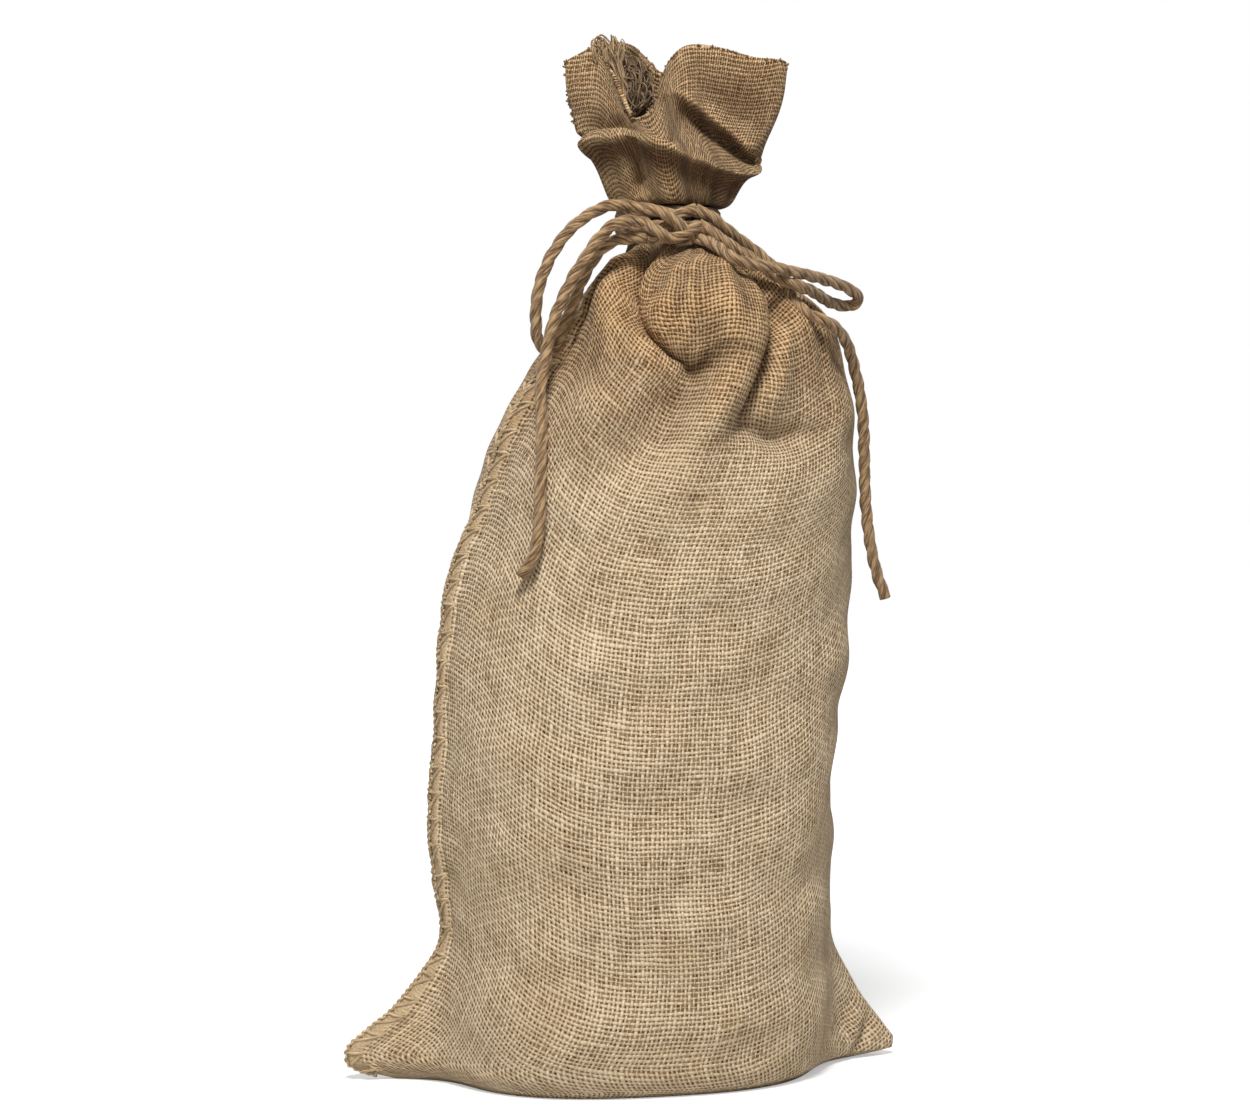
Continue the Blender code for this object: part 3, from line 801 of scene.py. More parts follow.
    def fold_moves(self, stops: Sequence, fold: NamedTuple, grid: np.ndarray,
                   normals: np.ndarray) -> tuple:
        """How far a fold moves each point of the grid.

        Args:
            stops: the fold's path, as (x, y, z, depth) in metres.
            fold: its width, power and lean.
            grid: the unfolded cloth.
            normals: its normals.

        Returns:
            The shift along the normal, and the sideways move of a crease that leans.
        """
        path = spline(stops, self.fold_steps)
        shift = np.zeros(grid.shape[:2])
        aside = np.zeros(grid.shape)
        nearest = np.full(grid.shape[:2], np.inf)
        deepest = max(abs(stop[3]) for stop in stops)
        lean = getattr(fold, "lean", 0.0)
        for start, end in zip(path[:-1], path[1:]):
            run = end[:3] - start[:3]
            share = np.clip(((grid - start[:3]) @ run) / (run @ run), 0, 1)
            away = grid - (start[:3] + share[..., None] * run)
            far = np.linalg.norm(away, axis=2)
            depth = start[3] + share * (end[3] - start[3])
            closer = far < nearest
            shift[closer] = (depth * np.exp(-((far / fold.width) ** fold.power)))[closer]
            nearest = np.minimum(nearest, far)
            if lean:
                across = unit(np.cross(normals[closer], unit(run)))
                side = (away[closer] * across).sum(axis=1) / fold.width
                beyond = away[closer] @ unit(run) / fold.width
                size = lean * np.abs(depth[closer]) / deepest
                size = size * np.exp(-((side * np.sign(lean) - 0.8) ** 2) - beyond**2)
                aside[closer] = -across * size[:, None]
        return shift, aside

    def crease_shift(self, creases: Sequence, centre: Sequence[float], turn_y: float,
                     grid: np.ndarray) -> np.ndarray:
        """How far creases given in millimetres move each point of a grid.

        Args:
            creases: the creases.
            centre: the point that their places are measured from, in metres.
            turn_y: -1 where their second number runs forward, 1 where it is y.
            grid: the cloth before them.

        Returns:
            The shift of each point along its normal.
        """
        shift = np.zeros(grid.shape[:2])
        for crease in creases:
            stops = np.array(crease.stops) / 1000 * np.array([1, turn_y, 1, 1])
            stops[:, :3] += centre
            shift += self.fold_moves(stops, crease, grid, grid)[0]
        return shift

    def ripples(self, grid: np.ndarray, turn: np.ndarray) -> np.ndarray:
        """Small uneven swellings of the fill and soft pleats that run up to the neck."""
        rng = np.random.default_rng(SEED)
        moved = np.zeros(grid.shape[:2])
        for size, height in self.swells:
            for _ in range(self.swell_waves):
                way = unit(rng.normal(size=3)) * 2 * math.pi / size
                moved += height * 0.6 * np.sin(grid @ way + rng.uniform(0, 2 * math.pi))
        rise = ease(grid[..., 2], *self.soft_pleat_heights)
        for count, height in self.soft_pleats:
            drift = rng.uniform(0, 2 * math.pi) + 9 * (grid[..., 2] - 0.42) * rng.normal()
            moved += height * rise * np.cos(count * turn + drift)
        return moved * ease(grid[..., 2], *self.foot_heights)

    def body(self) -> tuple:
        """The filled body from the floor to the neck.

        Returns:
            Its rows of rings, the same rows before their folds, and how creased each point is.
        """
        rows = self.section_rows()
        plain = np.array([self.resampled(self.ring(row)) for row in rows])
        normals = grid_normals(plain)
        moves = []
        for fold in FOLDS:
            stops = [(*self.surface_point(rows, a, h), depth) for a, h, depth in fold.stops]
            moves.append(self.fold_moves(stops, fold, plain, normals))
        shift, aside = (sum(parts) for parts in zip(*moves))
        shift += self.crease_shift(EAR_CREASES, (0, 0, 0), 1, plain)
        turn = 2 * np.pi * self.turns()
        pinch = np.clip((plain[..., 2] - self.pinch_from) / (self.pinch_to - self.pinch_from), 0, 1)
        crease = np.clip(-shift / self.full_crease, 0, 2) ** 2 * (1 - pinch)
        crease += 1.5 * ease(plain[..., 2], *self.pleat_heights) * self.pleat_creases(turn)
        shift += self.seam_roll(plain) * ease(plain[..., 2], 0, self.seam_foot)
        shift += self.ripples(plain, turn)
        shift = shift * (1 - pinch) + self.pleat_depth * pinch * np.cos(self.neck_pleats * turn)
        made = plain + normals * shift[..., None] + aside * (1 - pinch)[..., None]
        made[..., 2] = np.maximum(made[..., 2], 0)
        return made, plain, crease

    def seam_roll(self, grid: np.ndarray) -> np.ndarray:
        """The padded roll along the overlocked edge, pulled in at each needle hole."""
        far = self.seam_distance(grid)
        up = along(grid[:, 0])[:, None]
        pull = (1 + np.cos(2 * np.pi * up / self.stitch_pitch)) / 2
        roll = self.seam_ridge * (1 - ease(far, self.seam_reach * 0.72, self.seam_reach))
        roll = roll * (1 - 0.3 * pull * far / self.seam_reach)
        line = np.exp(-(((far - self.seam_reach) / self.seam_line) ** 2))
        return roll - self.seam_groove * line * (0.35 + 0.65 * pull**4)

    def seam_distance(self, grid: np.ndarray) -> np.ndarray:
        """Each point's distance from the seam, round the cloth the short way."""
        ahead = along(looped(grid), 1)
        return np.minimum(ahead, ahead[:, -1:] - ahead)[:, :-1]

    def on_cloth(self, up: float, across: float, lift: float = 0.0) -> np.ndarray:
        """A point on the finished cloth.

        Args:
            up: how far up along the seam it lies.
            across: how far from the seam, towards the front, or the back if below zero.
            lift: how far off the cloth it is.

        Returns:
            The point.
        """
        rise = along(self.shape[:, 0])
        row = np.interp(up, rise, np.arange(len(rise)))
        low = min(int(row), len(rise) - 2)
        count = np.arange(self.near_seam)
        order = count if across >= 0 else -count
        ends = []
        for at in (low, low + 1):
            place = np.interp(abs(across), self.from_seam[at, order], count)
            first = min(int(place), self.near_seam - 2)
            pair = order[first:first + 2]
            pair = self.shape[at, pair] + self.outward[at, pair] * lift
            ends.append(pair[0] + (pair[1] - pair[0]) * (place - first))
        return ends[0] + (ends[1] - ends[0]) * (row - low)

    def pleat_creases(self, turn: np.ndarray) -> np.ndarray:
        """How deep in a neck pleat each column lies, from 0 on a ridge to 1."""
        return ((1 - np.cos(self.neck_pleats * turn)) / 2) ** 6

    def frill(self, neck: np.ndarray) -> np.ndarray:
        """The open mouth above the twine: rings from above the neck to the rim."""
        levels = [self.neck_middle + np.array([getattr(p, level) for p in PLEATS])
                  * (1, -1, 1) / 1000 for level in Pleat._fields[1:]]
        rim = along(looped(levels[-1], 0))
        pleat = np.arange(len(PLEATS) * self.pleat_steps) / self.pleat_steps
        where = np.append(np.interp(pleat, np.arange(len(rim)), rim / rim[-1]), 1)
        loops = (looped(spline(level, self.pleat_steps, closed=True), 0) for level in levels)
        first, *others = (matched(self.turns(), where, loop) for loop in loops)
        skirt = neck + (first - neck) * self.skirt
        folded = [self.neck_middle + (first - self.neck_middle) * part
                  for part in (self.under_lip, self.lip, self.crest)]
        made = self.bent([neck, skirt, *folded, *others])
        normals = grid_normals(made)
        shift = self.crease_shift(MOUTH_CREASES, self.neck_middle, -1, made)
        rise = ease(made[..., 2], self.neck_height, self.neck_height + self.mouth_foot)
        return (made + normals * (shift * rise)[..., None])[1:]

    def bent(self, rings: Sequence[np.ndarray]) -> np.ndarray:
        """Rows of cloth that run straight from ring to ring, with a rounded bend at each."""
        rows = [rings[0]]
        share = np.linspace(0, 1, self.bend_steps)[:, None, None]
        for before, ring, after, roundness in zip(rings, rings[1:], rings[2:], self.roundness):
            start = ring + (before - ring) * roundness
            end = ring + (after - ring) * roundness
            rows.extend(self.flat_run(rows[-1], start)[1:-1])
            rows.extend((1 - share)**2 * start + 2 * share * (1 - share) * ring + share**2 * end)
        rows.extend(self.flat_run(rows[-1], rings[-1])[1:])
        return np.array(rows)

    def flat_run(self, start: np.ndarray, end: np.ndarray) -> np.ndarray:
        """Rows of cloth from one ring straight to another."""
        share = np.linspace(0, 1, self.flat_steps + 1)[:, None, None]
        return start + (end - start) * share

    def round_the_cloth(self, grid: np.ndarray, crease: np.ndarray) -> np.ndarray:
        """How far round the flat cloth each point lies, with the spare cloth in the creases.

        Args:
            grid: rows of rings.
            crease: how much of the spare cloth each point holds.

        Returns:
            Metres from the seam, one column more than the grid, for the closed end.
        """
        steps = gaps(looped(grid), 1)
        even = self.gather * ease(grid[..., 2].mean(axis=1, keepdims=True),
                                  *self.gather_heights)
        weight = crease + np.roll(crease, -1, axis=1) + self.least_crease
        turn = self.turns() + 1e-9
        for low, high in zip(self.ridge_shares, self.ridge_shares[1:]):
            inside = np.flatnonzero((turn >= low) & (turn < high))
            spare = 2 * self.flat_width * (high - low) - steps[:, inside].sum(axis=1)[:, None]
            by_step, by_weight = (part / part.sum(axis=1, keepdims=True)
                                  for part in (steps[:, inside], weight[:, inside]))
            evenly = np.where(spare < 0, 1, even)
            steps[:, inside] += spare * (evenly * by_step + (1 - evenly) * by_weight)
        return summed(steps, 1)

    def build(self, finish: bpy.types.Material) -> bpy.types.Object:
        """The sack's piece, with its UV map in metres of flat cloth.

        Args:
            finish: the burlap.

        Returns:
            The finished object.
        """
        body, plain, crease = self.body()
        frill = self.frill(body[-1])
        lining = (frill - grid_normals(frill) * self.thickness)[::-1]
        centre = lining[-1].mean(axis=0)
        floor = centre + (lining[-1] - centre) * self.lining_floor - (0, 0, self.lining_drop)
        under = np.array([plain[0] * (1, share, 1) for share in self.underside_rings[::-1]])
        depth = np.linspace(1, 0, len(frill))[:, None] ** 1.5
        frill_crease = self.pleat_creases(2 * np.pi * self.turns()) * depth * 2 + 0.02
        rise = gaps(body, 0)
        for _ in range(self.even_rounds):
            rise = (np.roll(rise, 1, axis=1) + rise + np.roll(rise, -1, axis=1)) / 3
        v_body = np.abs(plain[0, :, 1]) + summed(rise, 0)
        v_frill = self.flat_length - along(frill[::-1])[::-1]
        u_body = self.round_the_cloth(body, crease)
        u_frill = self.round_the_cloth(frill, frill_crease)
        rows = np.concatenate([under, body, frill, lining, floor[None]])
        u = np.concatenate([np.repeat(u_body[:1], len(under), axis=0), u_body, u_frill,
                            u_frill[::-1], u_frill[:1]])
        v = looped(np.concatenate([np.abs(under[..., 1]), v_body, v_frill, v_frill[::-1],
                                   v_frill[:1]]))
        edge = np.abs((u + self.flat_width / 2) % self.flat_width - self.flat_width / 2)
        v -= self.weft_droop * np.exp(-edge / self.droop_width)
        self.shape = np.concatenate([body, frill])
        self.outward = grid_normals(self.shape)
        self.from_seam = self.seam_distance(self.shape)
        made = make_piece("sack_cloth", rows[None], np.stack([u, v], axis=-1)[None], finish,
                          {"ShadeAndHighlight": self.relief_shading(rows),
                                        "Seam": self.seam_distance(rows)})
        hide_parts("sack")
        return made

    def relief_shading(self, rows: np.ndarray) -> np.ndarray:
        """Painted shade and highlight from each point's relief: from -1, painted shade in a crease
        or on a face turned downward, to 1, a painted highlight on a ridge.
        """
        smooth = rows
        for _ in range(self.ridge_rounds):
            beside = (np.roll(smooth, 1, axis=1) + np.roll(smooth, -1, axis=1)) / 2
            across = smooth.copy()
            across[1:-1] = (smooth[:-2] + smooth[2:]) / 2
            smooth = (smooth + beside + across) / 3
        normals = grid_normals(rows)
        out = ((rows - smooth) * normals).sum(axis=2) / self.ridge_scale
        return np.clip(out - self.underside_shade * np.clip(-normals[..., 2], 0, 1), -1, 1)


# ---------------------------------------------------------------- twine


class CordEnd(Enum):
    """What a strand of the bow ends in."""

    TUCKED = "object"
    BARE = "bare"


class Strand(NamedTuple):
    """A strand of the bow, by the points it passes in millimetres: across, back and up."""

    name: str
    node: str
    length: float
    end: CordEnd
    stops: tuple


STRANDS = (
    Strand("bow_loop_left", "tie_loop_left", 0.203, CordEnd.TUCKED, (
        (2.6, -35.8, 457.6), (-5, -35.5, 458.8), (-11, -36, 459.3), (-19.5, -37, 457.8),
        (-29, -39, 453), (-38, -40, 446), (-44.5, -40, 438), (-49.3, -40, 430), (-53.5, -40, 420),
        (-55.7, -39, 410), (-55.9, -37, 401), (-55.3, -35, 393.5), (-53.0, -32.5, 386.8),
        (-48.4, -30, 383.6), (-43.4, -29, 386.4), (-41.2, -29.5, 392.5), (-38.2, -30.5, 400),
        (-34.6, -31.5, 409), (-31.4, -32.5, 418), (-26.6, -33, 427.5), (-20.5, -33.5, 436),
        (-13, -34.5, 440.8), (-5, -35, 442.2), (3.0, -35.8, 442.6))),
    Strand("bow_end_left", "tie_end_left", 0.216, CordEnd.BARE, (
        (2.0, -37.3, 450.0), (-3.5, -39.0, 450.6), (-10, -41.6, 450.4), (-17, -43, 447.4),
        (-25, -43.5, 439.7), (-31, -43.5, 431), (-36.5, -43, 422.5), (-41, -42, 413.5),
        (-44.7, -41, 405), (-47.7, -41, 397), (-49.5, -41, 390), (-51, -41.2, 383),
        (-53, -42.3, 374), (-54.6, -44, 366), (-55.3, -46, 357.5), (-54.9, -48.2, 347),
        (-55.8, -52.6, 336), (-57, -55.8, 323), (-58, -58.3, 311), (-58.4, -60.2, 300),
        (-59.8, -61.6, 288), (-62.5, -61.6, 276), (-68, -58.4, 267))),
    Strand("bow_loop_right", "tie_loop_right", 0.246, CordEnd.TUCKED, (
        (29.3, -36.6, 442.6), (33.5, -39.5, 441.5), (37, -46.5, 438.5), (39.6, -55.5, 434.5),
        (43.0, -63.0, 430.3), (54, -61, 427.4), (65, -57.5, 426.6), (78, -52, 424.8),
        (92.7, -43, 423.0), (107, -34, 420.5), (117.2, -27.5, 417.6), (122.6, -24, 413.8),
        (120.2, -21.5, 409.6), (112.0, -23.5, 409.6), (103.0, -31, 411.3), (92, -43.0, 415.0),
        (80.5, -52.4, 417.7), (70.5, -47.5, 422.6), (61, -43.5, 430.3), (48.6, -41, 438.1),
        (39.5, -39.5, 444.4), (34.5, -38.3, 448.0), (30.8, -37.5, 449.9))),
    Strand("bow_end_right", "tie_end_right", 0.269, CordEnd.BARE, (
        (30.1, -35.0, 457.9), (38.5, -34.5, 454.3), (46.5, -33.5, 448.3), (56.5, -30, 442),
        (65, -28.5, 436.6), (71.6, -32, 430), (76.8, -39.4, 421.8), (79.9, -46.6, 410.6),
        (87.0, -52.8, 402.4), (94.5, -53.4, 399.6), (103.0, -48.0, 395.8), (111.5, -38.5, 389),
        (118.0, -30, 378.5), (122.8, -26, 364), (126, -23, 348), (127.4, -21, 327),
        (128.4, -20, 305), (130.8, -20, 284), (134.5, -20, 267), (140.0, -20, 252))),
)


@dataclass(frozen=True)
class TwistedTwine:
    """Three plies of jute laid up into a strand."""

    diameter: float = 0.007
    ply_radius: float = 0.00225
    ply_offset: float = 0.00125
    lay: float = 0.031
    unevenness: float = 0.08
    hairiness: float = 0.05
    sides: int = 24
    step: float = 0.0011

    def outline(self, angle: np.ndarray) -> np.ndarray:
        """The strand's radius at these angles from a ply's middle."""
        third = 2 * np.pi / 3
        off = (angle + third / 2) % third - third / 2
        across = self.ply_offset * np.sin(off)
        return (self.ply_offset * np.cos(off)
                + np.sqrt(np.maximum(self.ply_radius**2 - across**2, 0)))

    def thick_and_thin(self, far: np.ndarray, local: np.ndarray) -> np.ndarray:
        """The plies' uneven thickness, up to full size, at these lengths and angles."""
        ply = np.floor((local + np.pi / 3) / (2 * np.pi / 3)) % 3
        slow = np.sin(far[:, None] * 410 + ply * 2.1) * np.sin(far[:, None] * 173 + ply * 4.0)
        hair = np.random.default_rng(SEED).uniform(0, 1, local.shape)
        return 1 - self.unevenness * (0.5 + 0.5 * slow) - self.hairiness * hair

    def build(self, name: str, path: np.ndarray, finish: bpy.types.Material,
              closed: bool = False) -> bpy.types.Object:
        """A strand of twine.

        Args:
            name: the piece's name.
            path: evenly spaced points along its middle.
            finish: its material.
            closed: whether it returns to its first point.

        Returns:
            The strand's piece, which rides on the sack.
        """
        far = along(looped(path, 0) if closed else path)
        lay = self.lay
        if closed:
            lay = far[-1] / max(1, round(3 * far[-1] / lay)) * 3
        sides, ups = carried_frames(path)
        angle = circle(self.sides)
        spin = 2 * np.pi * far[:, None] / lay
        local = angle - spin[:len(path)]
        radius = self.outline(local) * self.thick_and_thin(far[:len(path)], local)
        points = (path[:, None] + sides[:, None] * (radius * np.cos(angle))[..., None]
                  + ups[:, None] * (radius * np.sin(angle))[..., None])
        u = (np.append(angle, 2 * np.pi) - spin) * self.diameter / 2
        uv = np.stack(np.broadcast_arrays(u, far[:, None]), axis=-1)
        return make_piece(name, points[None], uv[None], finish,
                          {"Ply": np.cos(3 * local)}, closed)


@dataclass
class TwineBow:
    """The tie: two turns round the neck, a knot, two loops and two free ends."""

    twine: TwistedTwine = field(default_factory=TwistedTwine)
    wrap_heights: tuple = (0.4498, 0.4575)
    wrap_radius: float = 0.0252
    wrap_points: int = 144
    neck_lean: float = 0.0235
    knot_bands: tuple = (
        ((2.6, -35.8, 457.6), (8.5, -39.5, 456.4), (16, -42.0, 451.6), (23.5, -40.4, 445.8),
         (29.3, -36.6, 442.6)),
        ((3.0, -35.8, 442.6), (9, -35.5, 444.6), (16, -35.5, 450.4), (23, -35.2, 456.0),
         (30.1, -35.0, 457.9)),
        ((2.0, -37.3, 450.0), (7.5, -41.6, 445.6), (15.5, -40.6, 441.9), (24, -41.0, 445.0),
         (30.8, -37.5, 449.9)),
    )

    def strands(self, finish: bpy.types.Material) -> list:
        """The two loops and the two free ends, each in place of its part from model.glb, which is
        hidden.
        """
        made = []
        for strand in STRANDS:
            path = even_path(strand.stops, self.twine.step)
            piece = self.twine.build(strand.name, path, finish)
            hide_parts(strand.node)
            made.append(piece)
        return made

    def wraps(self, finish: bpy.types.Material) -> list:
        """The turns of twine round the neck."""
        made = []
        for name, height in zip(("lower", "upper"), self.wrap_heights):
            turn = circle(self.wrap_points)
            path = np.column_stack([self.neck_lean + self.wrap_radius * np.cos(turn),
                                    self.wrap_radius * np.sin(turn), turn * 0 + height])
            piece = self.twine.build(f"neck_turn_{name}", path, finish, closed=True)
            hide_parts(f"tie_wrap_{name}")
            made.append(piece)
        return made

    def knot(self, finish: bpy.types.Material) -> list:
        """The strands that cross in the knot."""
        made = []
        for number, stops in enumerate(self.knot_bands, 1):
            piece = self.twine.build(f"knot_band_{number}", even_path(stops, self.twine.step),
                                     finish)
            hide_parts("tie_knot")
            made.append(piece)
        return made


# ---------------------------------------------------------------- yarns and fibres


def thread_piece(name: str, paths: np.ndarray, radius: np.ndarray, finish: bpy.types.Material,
                 sides: int = 5, taper: float = 0.0) -> bpy.types.Object:
    """One piece of many thin threads.

    Args:
        name: the piece's name.
        paths: the threads' points, an array of (threads, points, 3).
        radius: each thread's radius.
        finish: their material.
        sides: how many sides each thread has.
        taper: how much thinner the far end is, from 0 to 1.

    Returns:
        The piece, which rides on the sack.
    """
    tangents = unit(np.gradient(paths, axis=1))
    lean = np.where(np.abs(tangents[..., 2:3]) > 0.8, (1.0, 0.0, 0.0), (0.0, 0.0, 1.0))
    side = unit(np.cross(tangents, lean))
    other = np.cross(tangents, side)
    angle = circle(sides)
    size = radius[:, None] * (1 - taper * np.linspace(0, 1, paths.shape[1]) ** 2)
    ring = side[:, :, None] * np.cos(angle)[:, None] + other[:, :, None] * np.sin(angle)[:, None]
    points = paths[:, :, None] + ring * size[..., None, None]
    far = along(paths, 1) + np.arange(len(paths))[:, None] * 0.37
    u = np.append(angle, 2 * np.pi) * radius.mean()
    uv = np.stack(np.broadcast_arrays(u, far[..., None]), axis=-1)
    return make_piece(name, points, uv, finish)


@dataclass
class Overlock:
    """The yarn that sews the side: a level and a slanting strand from each needle hole."""

    cloth: SackCloth
    yarn: float = 0.00075
    chain: float = 0.0008
    first: float = 0.020
    last: float = 0.478
    points: int = 9
    edge_points: int = 700
    edge_swing: float = 0.0011
    hole_play: float = 0.0007
    drops: tuple = ((0.0012, 0.0006), (0.0098, 0.0010))

    def strand(self, up: float, drop: float, side: int) -> np.ndarray:
        """A strand from a needle hole over the roll to the edge.

        Args:
            up: how far up the seam the hole is.
            drop: how much lower the strand reaches the edge.
            side: 1 on the front, -1 on the back.

        Returns:
            Its points.
        """
        share = np.linspace(0, 1, self.points)
        lift = self.yarn * (0.7 - 1.8 * (1 - share) ** 6)
        return np.array([self.cloth.on_cloth(up - drop * t, side * self.cloth.seam_reach * (1 - t),
                                             rise) for t, rise in zip(share, lift)])

    def stitches(self) -> np.ndarray:
        """All the strands between the needle holes and the edge."""
        rng = np.random.default_rng(SEED)
        made = []
        for up in np.arange(self.first, self.last, self.cloth.stitch_pitch):
            hole = up + rng.normal() * self.hole_play
            for side in (1, -1):
                for drop, play in self.drops:
                    made.append(self.strand(hole, drop + rng.normal() * play, side))
        return np.array(made)

    def edge(self) -> np.ndarray:
        """The two yarns that link the stitches along the edge."""
        ups = np.linspace(self.first - 0.010, self.last, self.edge_points)
        made = []
        for start in (0, math.pi):
            swing = 2 * math.pi * ups / (self.cloth.stitch_pitch / 2) + start
            made.append([self.cloth.on_cloth(up, self.edge_swing * math.sin(turn),
                                             self.chain * (0.9 + 0.5 * math.cos(turn)))
                         for up, turn in zip(ups, swing)])
        return np.array(made)

    def build(self, finish: bpy.types.Material) -> list:
        """The stitching's two pieces."""
        return [thread_piece(name, paths, np.full(len(paths), size), finish, 6)
                for name, paths, size in (("overlock_stitches", self.stitches(), self.yarn),
                                          ("overlock_edge", self.edge(), self.chain))]


class Tuft(NamedTuple):
    """A bunch of loose yarns, in millimetres from the middle of the neck."""

    name: str
    yarns: int
    foot: tuple
    head: tuple
    curl: float
    bow: float


TUFTS = (
    Tuft("mouth_bundle", 90, ((-29, -23), (9, 15), (52, 60)), ((-43, -29), (7, 17), (78, 90)),
         7.0, 1.2),
    Tuft("mouth_tangle", 70, ((-28, -14), (8, 18), (46, 56)), ((-30, -12), (6, 16), (58, 80)),
         6.0, 4.0),
)


@dataclass
class FrayedMouth:
    """Frayed yarn ends along the rim and the loose tufts that stand up at its left."""

    cloth: SackCloth
    ends: int = 120
    end_length: float = 0.0012
    end_radius: tuple = (0.0005, 0.0009)
    yarn_radius: tuple = (0.0003, 0.0007)
    edge_ends: int = 20
    edge_rows: int = 28
    wad_centre: tuple = (-21, 7, 62)
    wad_size: tuple = (8, 5.5, 14)
    wad_relief: float = 0.30
    wad_lumps: int = 60
    wad_rows: int = 60
    wad_columns: int = 96

    def rim_ends(self) -> np.ndarray:
        """Short ends of yarn that stick out of the rim and of the seam above the twine."""
        rng = np.random.default_rng(SEED)
        rim, below = self.cloth.shape[-1], self.cloth.shape[-3]
        up = unit(rim - below)
        columns = rng.choice(self.cloth.columns, self.ends)
        starts = [(rim[k] - up[k] * 0.001, up[k]) for k in columns]
        tall = len(self.cloth.shape)
        for row in rng.integers(tall - self.edge_rows, tall - 1, self.edge_ends):
            starts.append((self.cloth.shape[row, 0], self.cloth.outward[row, 0]))
        made = []
        for start, out in starts:
            way = unit(out + rng.normal(size=3) * 0.5)
            curl = unit(way + rng.normal(size=3) * 0.9)
            length = self.end_length * rng.uniform(0.4, 1.3)
            made.append([start, start + way * length * 0.4, start + way * length * 0.6
                         + curl * length * 0.3, start + way * length * 0.6 + curl * length * 0.6])
        return np.array(made)

    def tuft(self, tuft: Tuft) -> np.ndarray:
        """The loose yarns of a tuft, which fan out and curl over."""
        rng = np.random.default_rng(SEED + 1)
        foot_range, head_range = np.array(tuft.foot), np.array(tuft.head)
        middle = head_range.mean(axis=1)
        made = []
        for _ in range(tuft.yarns):
            share = rng.uniform(size=3)
            foot = foot_range[:, 0] + (foot_range[:, 1] - foot_range[:, 0]) * share
            swing = np.clip(share * 0.75 + rng.uniform(size=3) * 0.25, 0, 1)
            head = head_range[:, 0] + (head_range[:, 1] - head_range[:, 0]) * swing
            out = unit((head - middle) * (1, 1, 0) + rng.normal(size=3) * (1.5, 1.5, 0))
            bow = rng.normal(size=3) * (tuft.bow, tuft.bow, tuft.bow * 0.7)
            over = out * tuft.curl * rng.uniform(0.3, 0.8)
            stops = np.array([foot, foot + (head - foot) * 0.4 + bow - out,
                              foot + (head - foot) * 0.8 + bow, head + over * 0.5,
                              head + over - (0, 0, tuft.curl * rng.uniform(0.3, 0.9)),
                              head + over * 0.6 - (0, 0, tuft.curl * rng.uniform(0.9, 1.5))])
            made.append(spline(stops * (1, -1, 1) / 1000 + self.cloth.neck_middle, 4))
        return np.array(made)

    def wad(self, finish: bpy.types.Material) -> bpy.types.Object:
        """The matted fibres inside the mouth, from which the loose yarns come."""
        rng = np.random.default_rng(SEED + 2)
        around = circle(self.wad_columns)
        down = (np.arange(self.wad_rows)[:, None] + 0.5) / self.wad_rows * np.pi
        way = np.stack(np.broadcast_arrays(np.sin(down) * np.cos(around),
                                           np.sin(down) * np.sin(around), np.cos(down)), axis=-1)
        lumps = np.zeros(way.shape[:2])
        for _ in range(self.wad_lumps):
            wave = rng.normal(size=3) * rng.uniform(2, 12)
            lumps += np.sin(way @ wave + rng.uniform(0, 2 * np.pi)) / (2 + np.linalg.norm(wave))
        size = np.array(self.wad_size) * (1 + self.wad_relief * lumps)[..., None]
        points = self.cloth.neck_middle + (way * size + self.wad_centre) * (1, -1, 1) / 1000
        uv = looped(np.stack([points[..., 0] + points[..., 1], points[..., 2]], axis=-1))
        return make_piece("mouth_wad", points[None], uv[None], finish)

    def build(self, finish: bpy.types.Material, pale: bpy.types.Material,
              dark: bpy.types.Material) -> list:
        """The frayed ends' pieces.

        Args:
            finish: the frayed yarn.
            pale: the combed-out yarn of the first tuft.
            dark: the matted fibres of the wad.

        Returns:
            The rim's ends, the wad and the tufts.
        """
        rng = np.random.default_rng(SEED)
        ends = self.rim_ends()
        made = [thread_piece("rim_ends", ends, rng.uniform(*self.end_radius, len(ends)), finish,
                             5, 0.5), self.wad(dark)]
        for tuft, look in zip(TUFTS, (pale, finish)):
            radius = rng.uniform(*self.yarn_radius, tuft.yarns)
            made.append(thread_piece(tuft.name, self.tuft(tuft), radius, look, 6, 0.3))
        return made


# ---------------------------------------------------------------- studio


def aimed(name: str, data: bpy.types.ID, place: tuple, aim: tuple) -> bpy.types.Object:
    """A new object at a place, which faces a point."""
    made = placed(name, data)
    made.location = place
    way = mathutils.Vector(aim) - mathutils.Vector(place)
    made.rotation_euler = way.to_track_quat("-Z", "Y").to_euler()
    return made


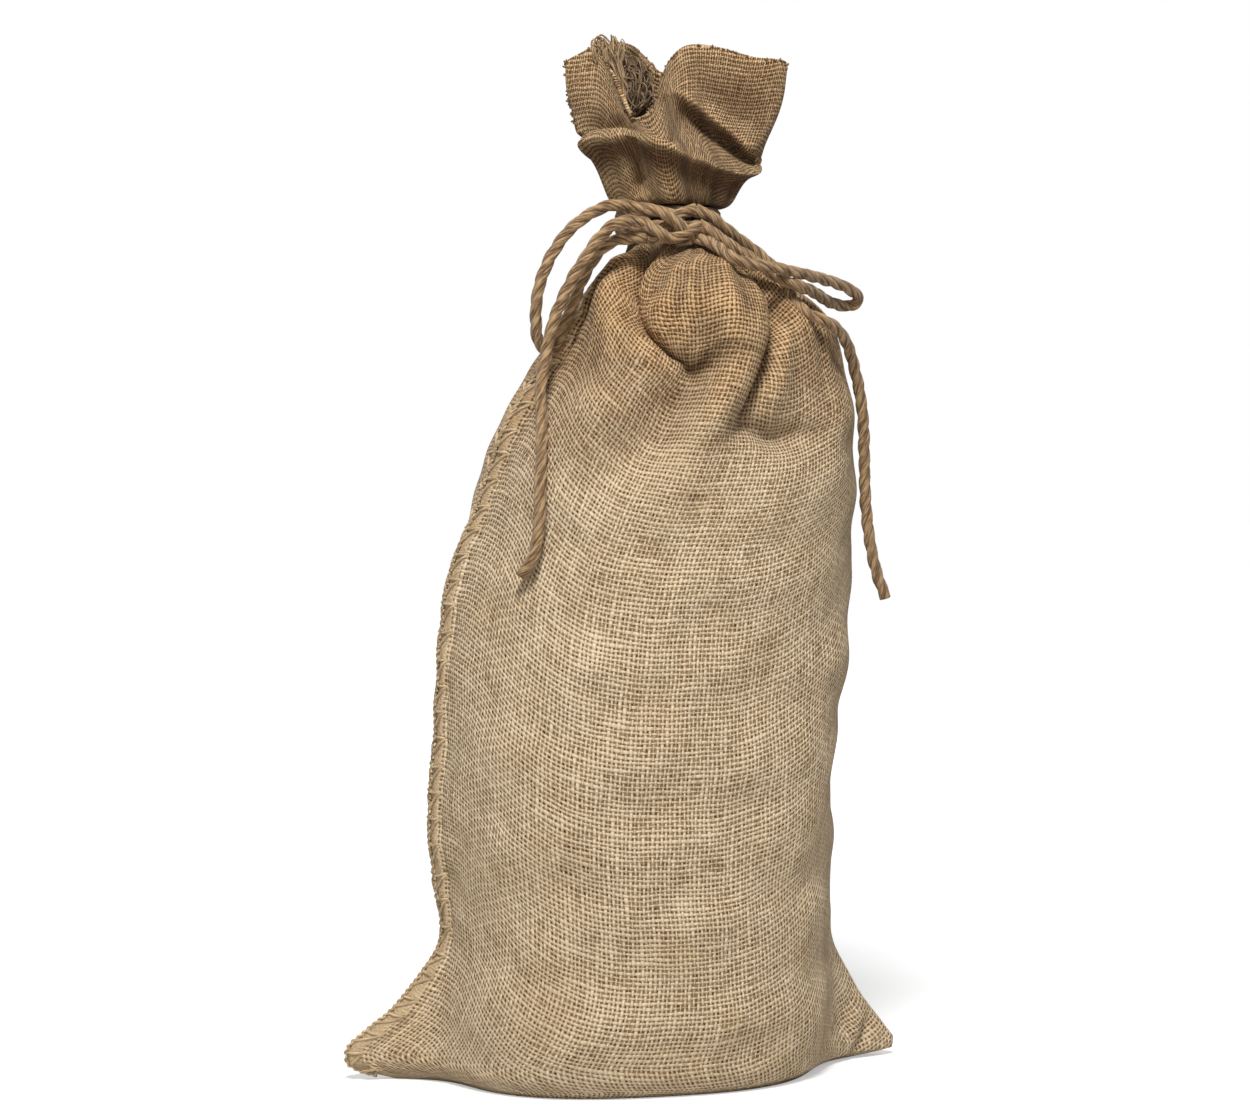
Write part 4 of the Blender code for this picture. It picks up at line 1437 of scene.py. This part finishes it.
@dataclass
class Studio:
    """A pale floor, soft light and the camera."""

    eye: tuple = (-0.3374, -1.4616, 0.32)
    aim: tuple = (0.0, 0.0, 0.28)
    focal_mm: float = 80.63
    sensor_mm: float = 36.0
    shift_y: float = -0.0084
    ambient: float = 0.15
    lit: tuple = (0, 0, 0.25)
    lights: tuple = (("key light", (-0.35, -1.15, 2.10), 0.5, 50),
                     ("front light", (-0.60, -2.40, 0.60), 1.2, 7),
                     ("floor light", (0.3, 1.6, 2.6), 1.5, 20))
    floor_corners: tuple = ((-9, -6, 0), (9, -6, 0), (9, 14, 0), (-9, 14, 0))

    def camera(self) -> bpy.types.Object:
        """The camera, at the photo's angle."""
        data = bpy.data.cameras.new("Camera")
        data.lens = self.focal_mm
        data.sensor_width = self.sensor_mm
        data.sensor_fit = "HORIZONTAL"
        data.shift_y = self.shift_y
        made = aimed("Camera", data, self.eye, self.aim)
        bpy.context.scene.camera = made
        return made

    def softbox(self, name: str, place: tuple, size: float, power: float) -> None:
        """A square soft light that faces the sack."""
        data = bpy.data.lights.new(name, "AREA")
        data.shape = "SQUARE"
        data.size = size
        data.energy = power
        aimed(name, data, place, self.lit)

    def floor(self) -> bpy.types.Object:
        """A wide pale floor."""
        finish, desk, shader = new_material("studio floor")
        seen = desk.add("ShaderNodeLightPath").outputs["Is Camera Ray"]
        place = desk.add("ShaderNodeTexCoord").outputs["Object"]
        away = desk.add("ShaderNodeVectorMath", {0: place}, operation="LENGTH").outputs["Value"]
        desk.dress(shader, {
            "Emission Strength": desk.times(seen, desk.spread(away, 0.3, 1.8, 0.4, 0.9)),
            "Emission Color": WHITE, "Base Color": (0.75, 0.75, 0.75, 1), "Roughness": 0.9,
            "Specular IOR Level": 0.1})
        mesh = bpy.data.meshes.new("studio_floor")
        mesh.from_pydata(self.floor_corners, [], [(0, 1, 2, 3)])
        mesh.materials.append(finish)
        made = placed("studio_floor", mesh)
        return made

    def build(self) -> None:
        """Sets the scene's light and floor."""
        world = bpy.data.worlds.new("studio light")
        world.use_nodes = True
        desk = NodeDesk(world.node_tree)
        soft = world.node_tree.nodes["Background"]
        desk.dress(soft, {0: WHITE, 1: self.ambient})
        bright = desk.add("ShaderNodeBackground", {0: WHITE, 1: 1.0})
        seen = desk.add("ShaderNodeLightPath").outputs["Is Camera Ray"]
        both = desk.add("ShaderNodeMixShader", {0: seen, 1: soft.outputs[0], 2: bright.outputs[0]})
        desk.dress(world.node_tree.nodes["World Output"], {0: both.outputs[0]})
        bpy.context.scene.world = world
        bpy.context.scene.view_settings.view_transform = "Standard"
        for light in self.lights:
            self.softbox(*light)
        self.floor()


# ---------------------------------------------------------------- making


def log_piece(piece: bpy.types.Object) -> None:
    """Logs a piece's name and size."""
    LOG.info("%s: %d faces", piece.name, len(piece.data.polygons))


def main() -> None:
    """Builds the camera, the bow, the sack and its details, and the studio, in that order."""
    logging.basicConfig(level=logging.INFO, format="%(message)s")
    studio = Studio()
    studio.camera()
    jute = TWINE.build()
    bow = TwineBow()
    for piece in (*bow.strands(jute), *bow.wraps(jute), *bow.knot(jute)):
        log_piece(piece)
    sack = SackCloth()
    log_piece(sack.build(BurlapFinish().build(PlainWeave().build())))
    thread, frayed, combed, matted = (look.build() for look in (
        OVERLOCK_YARN, FRAYED_YARN, COMBED_YARN, MATTED_FIBRE))
    for piece in (*Overlock(sack).build(thread),
                  *FrayedMouth(sack).build(frayed, combed, matted)):
        log_piece(piece)
    studio.build()


if __name__ == "__main__":
    main()
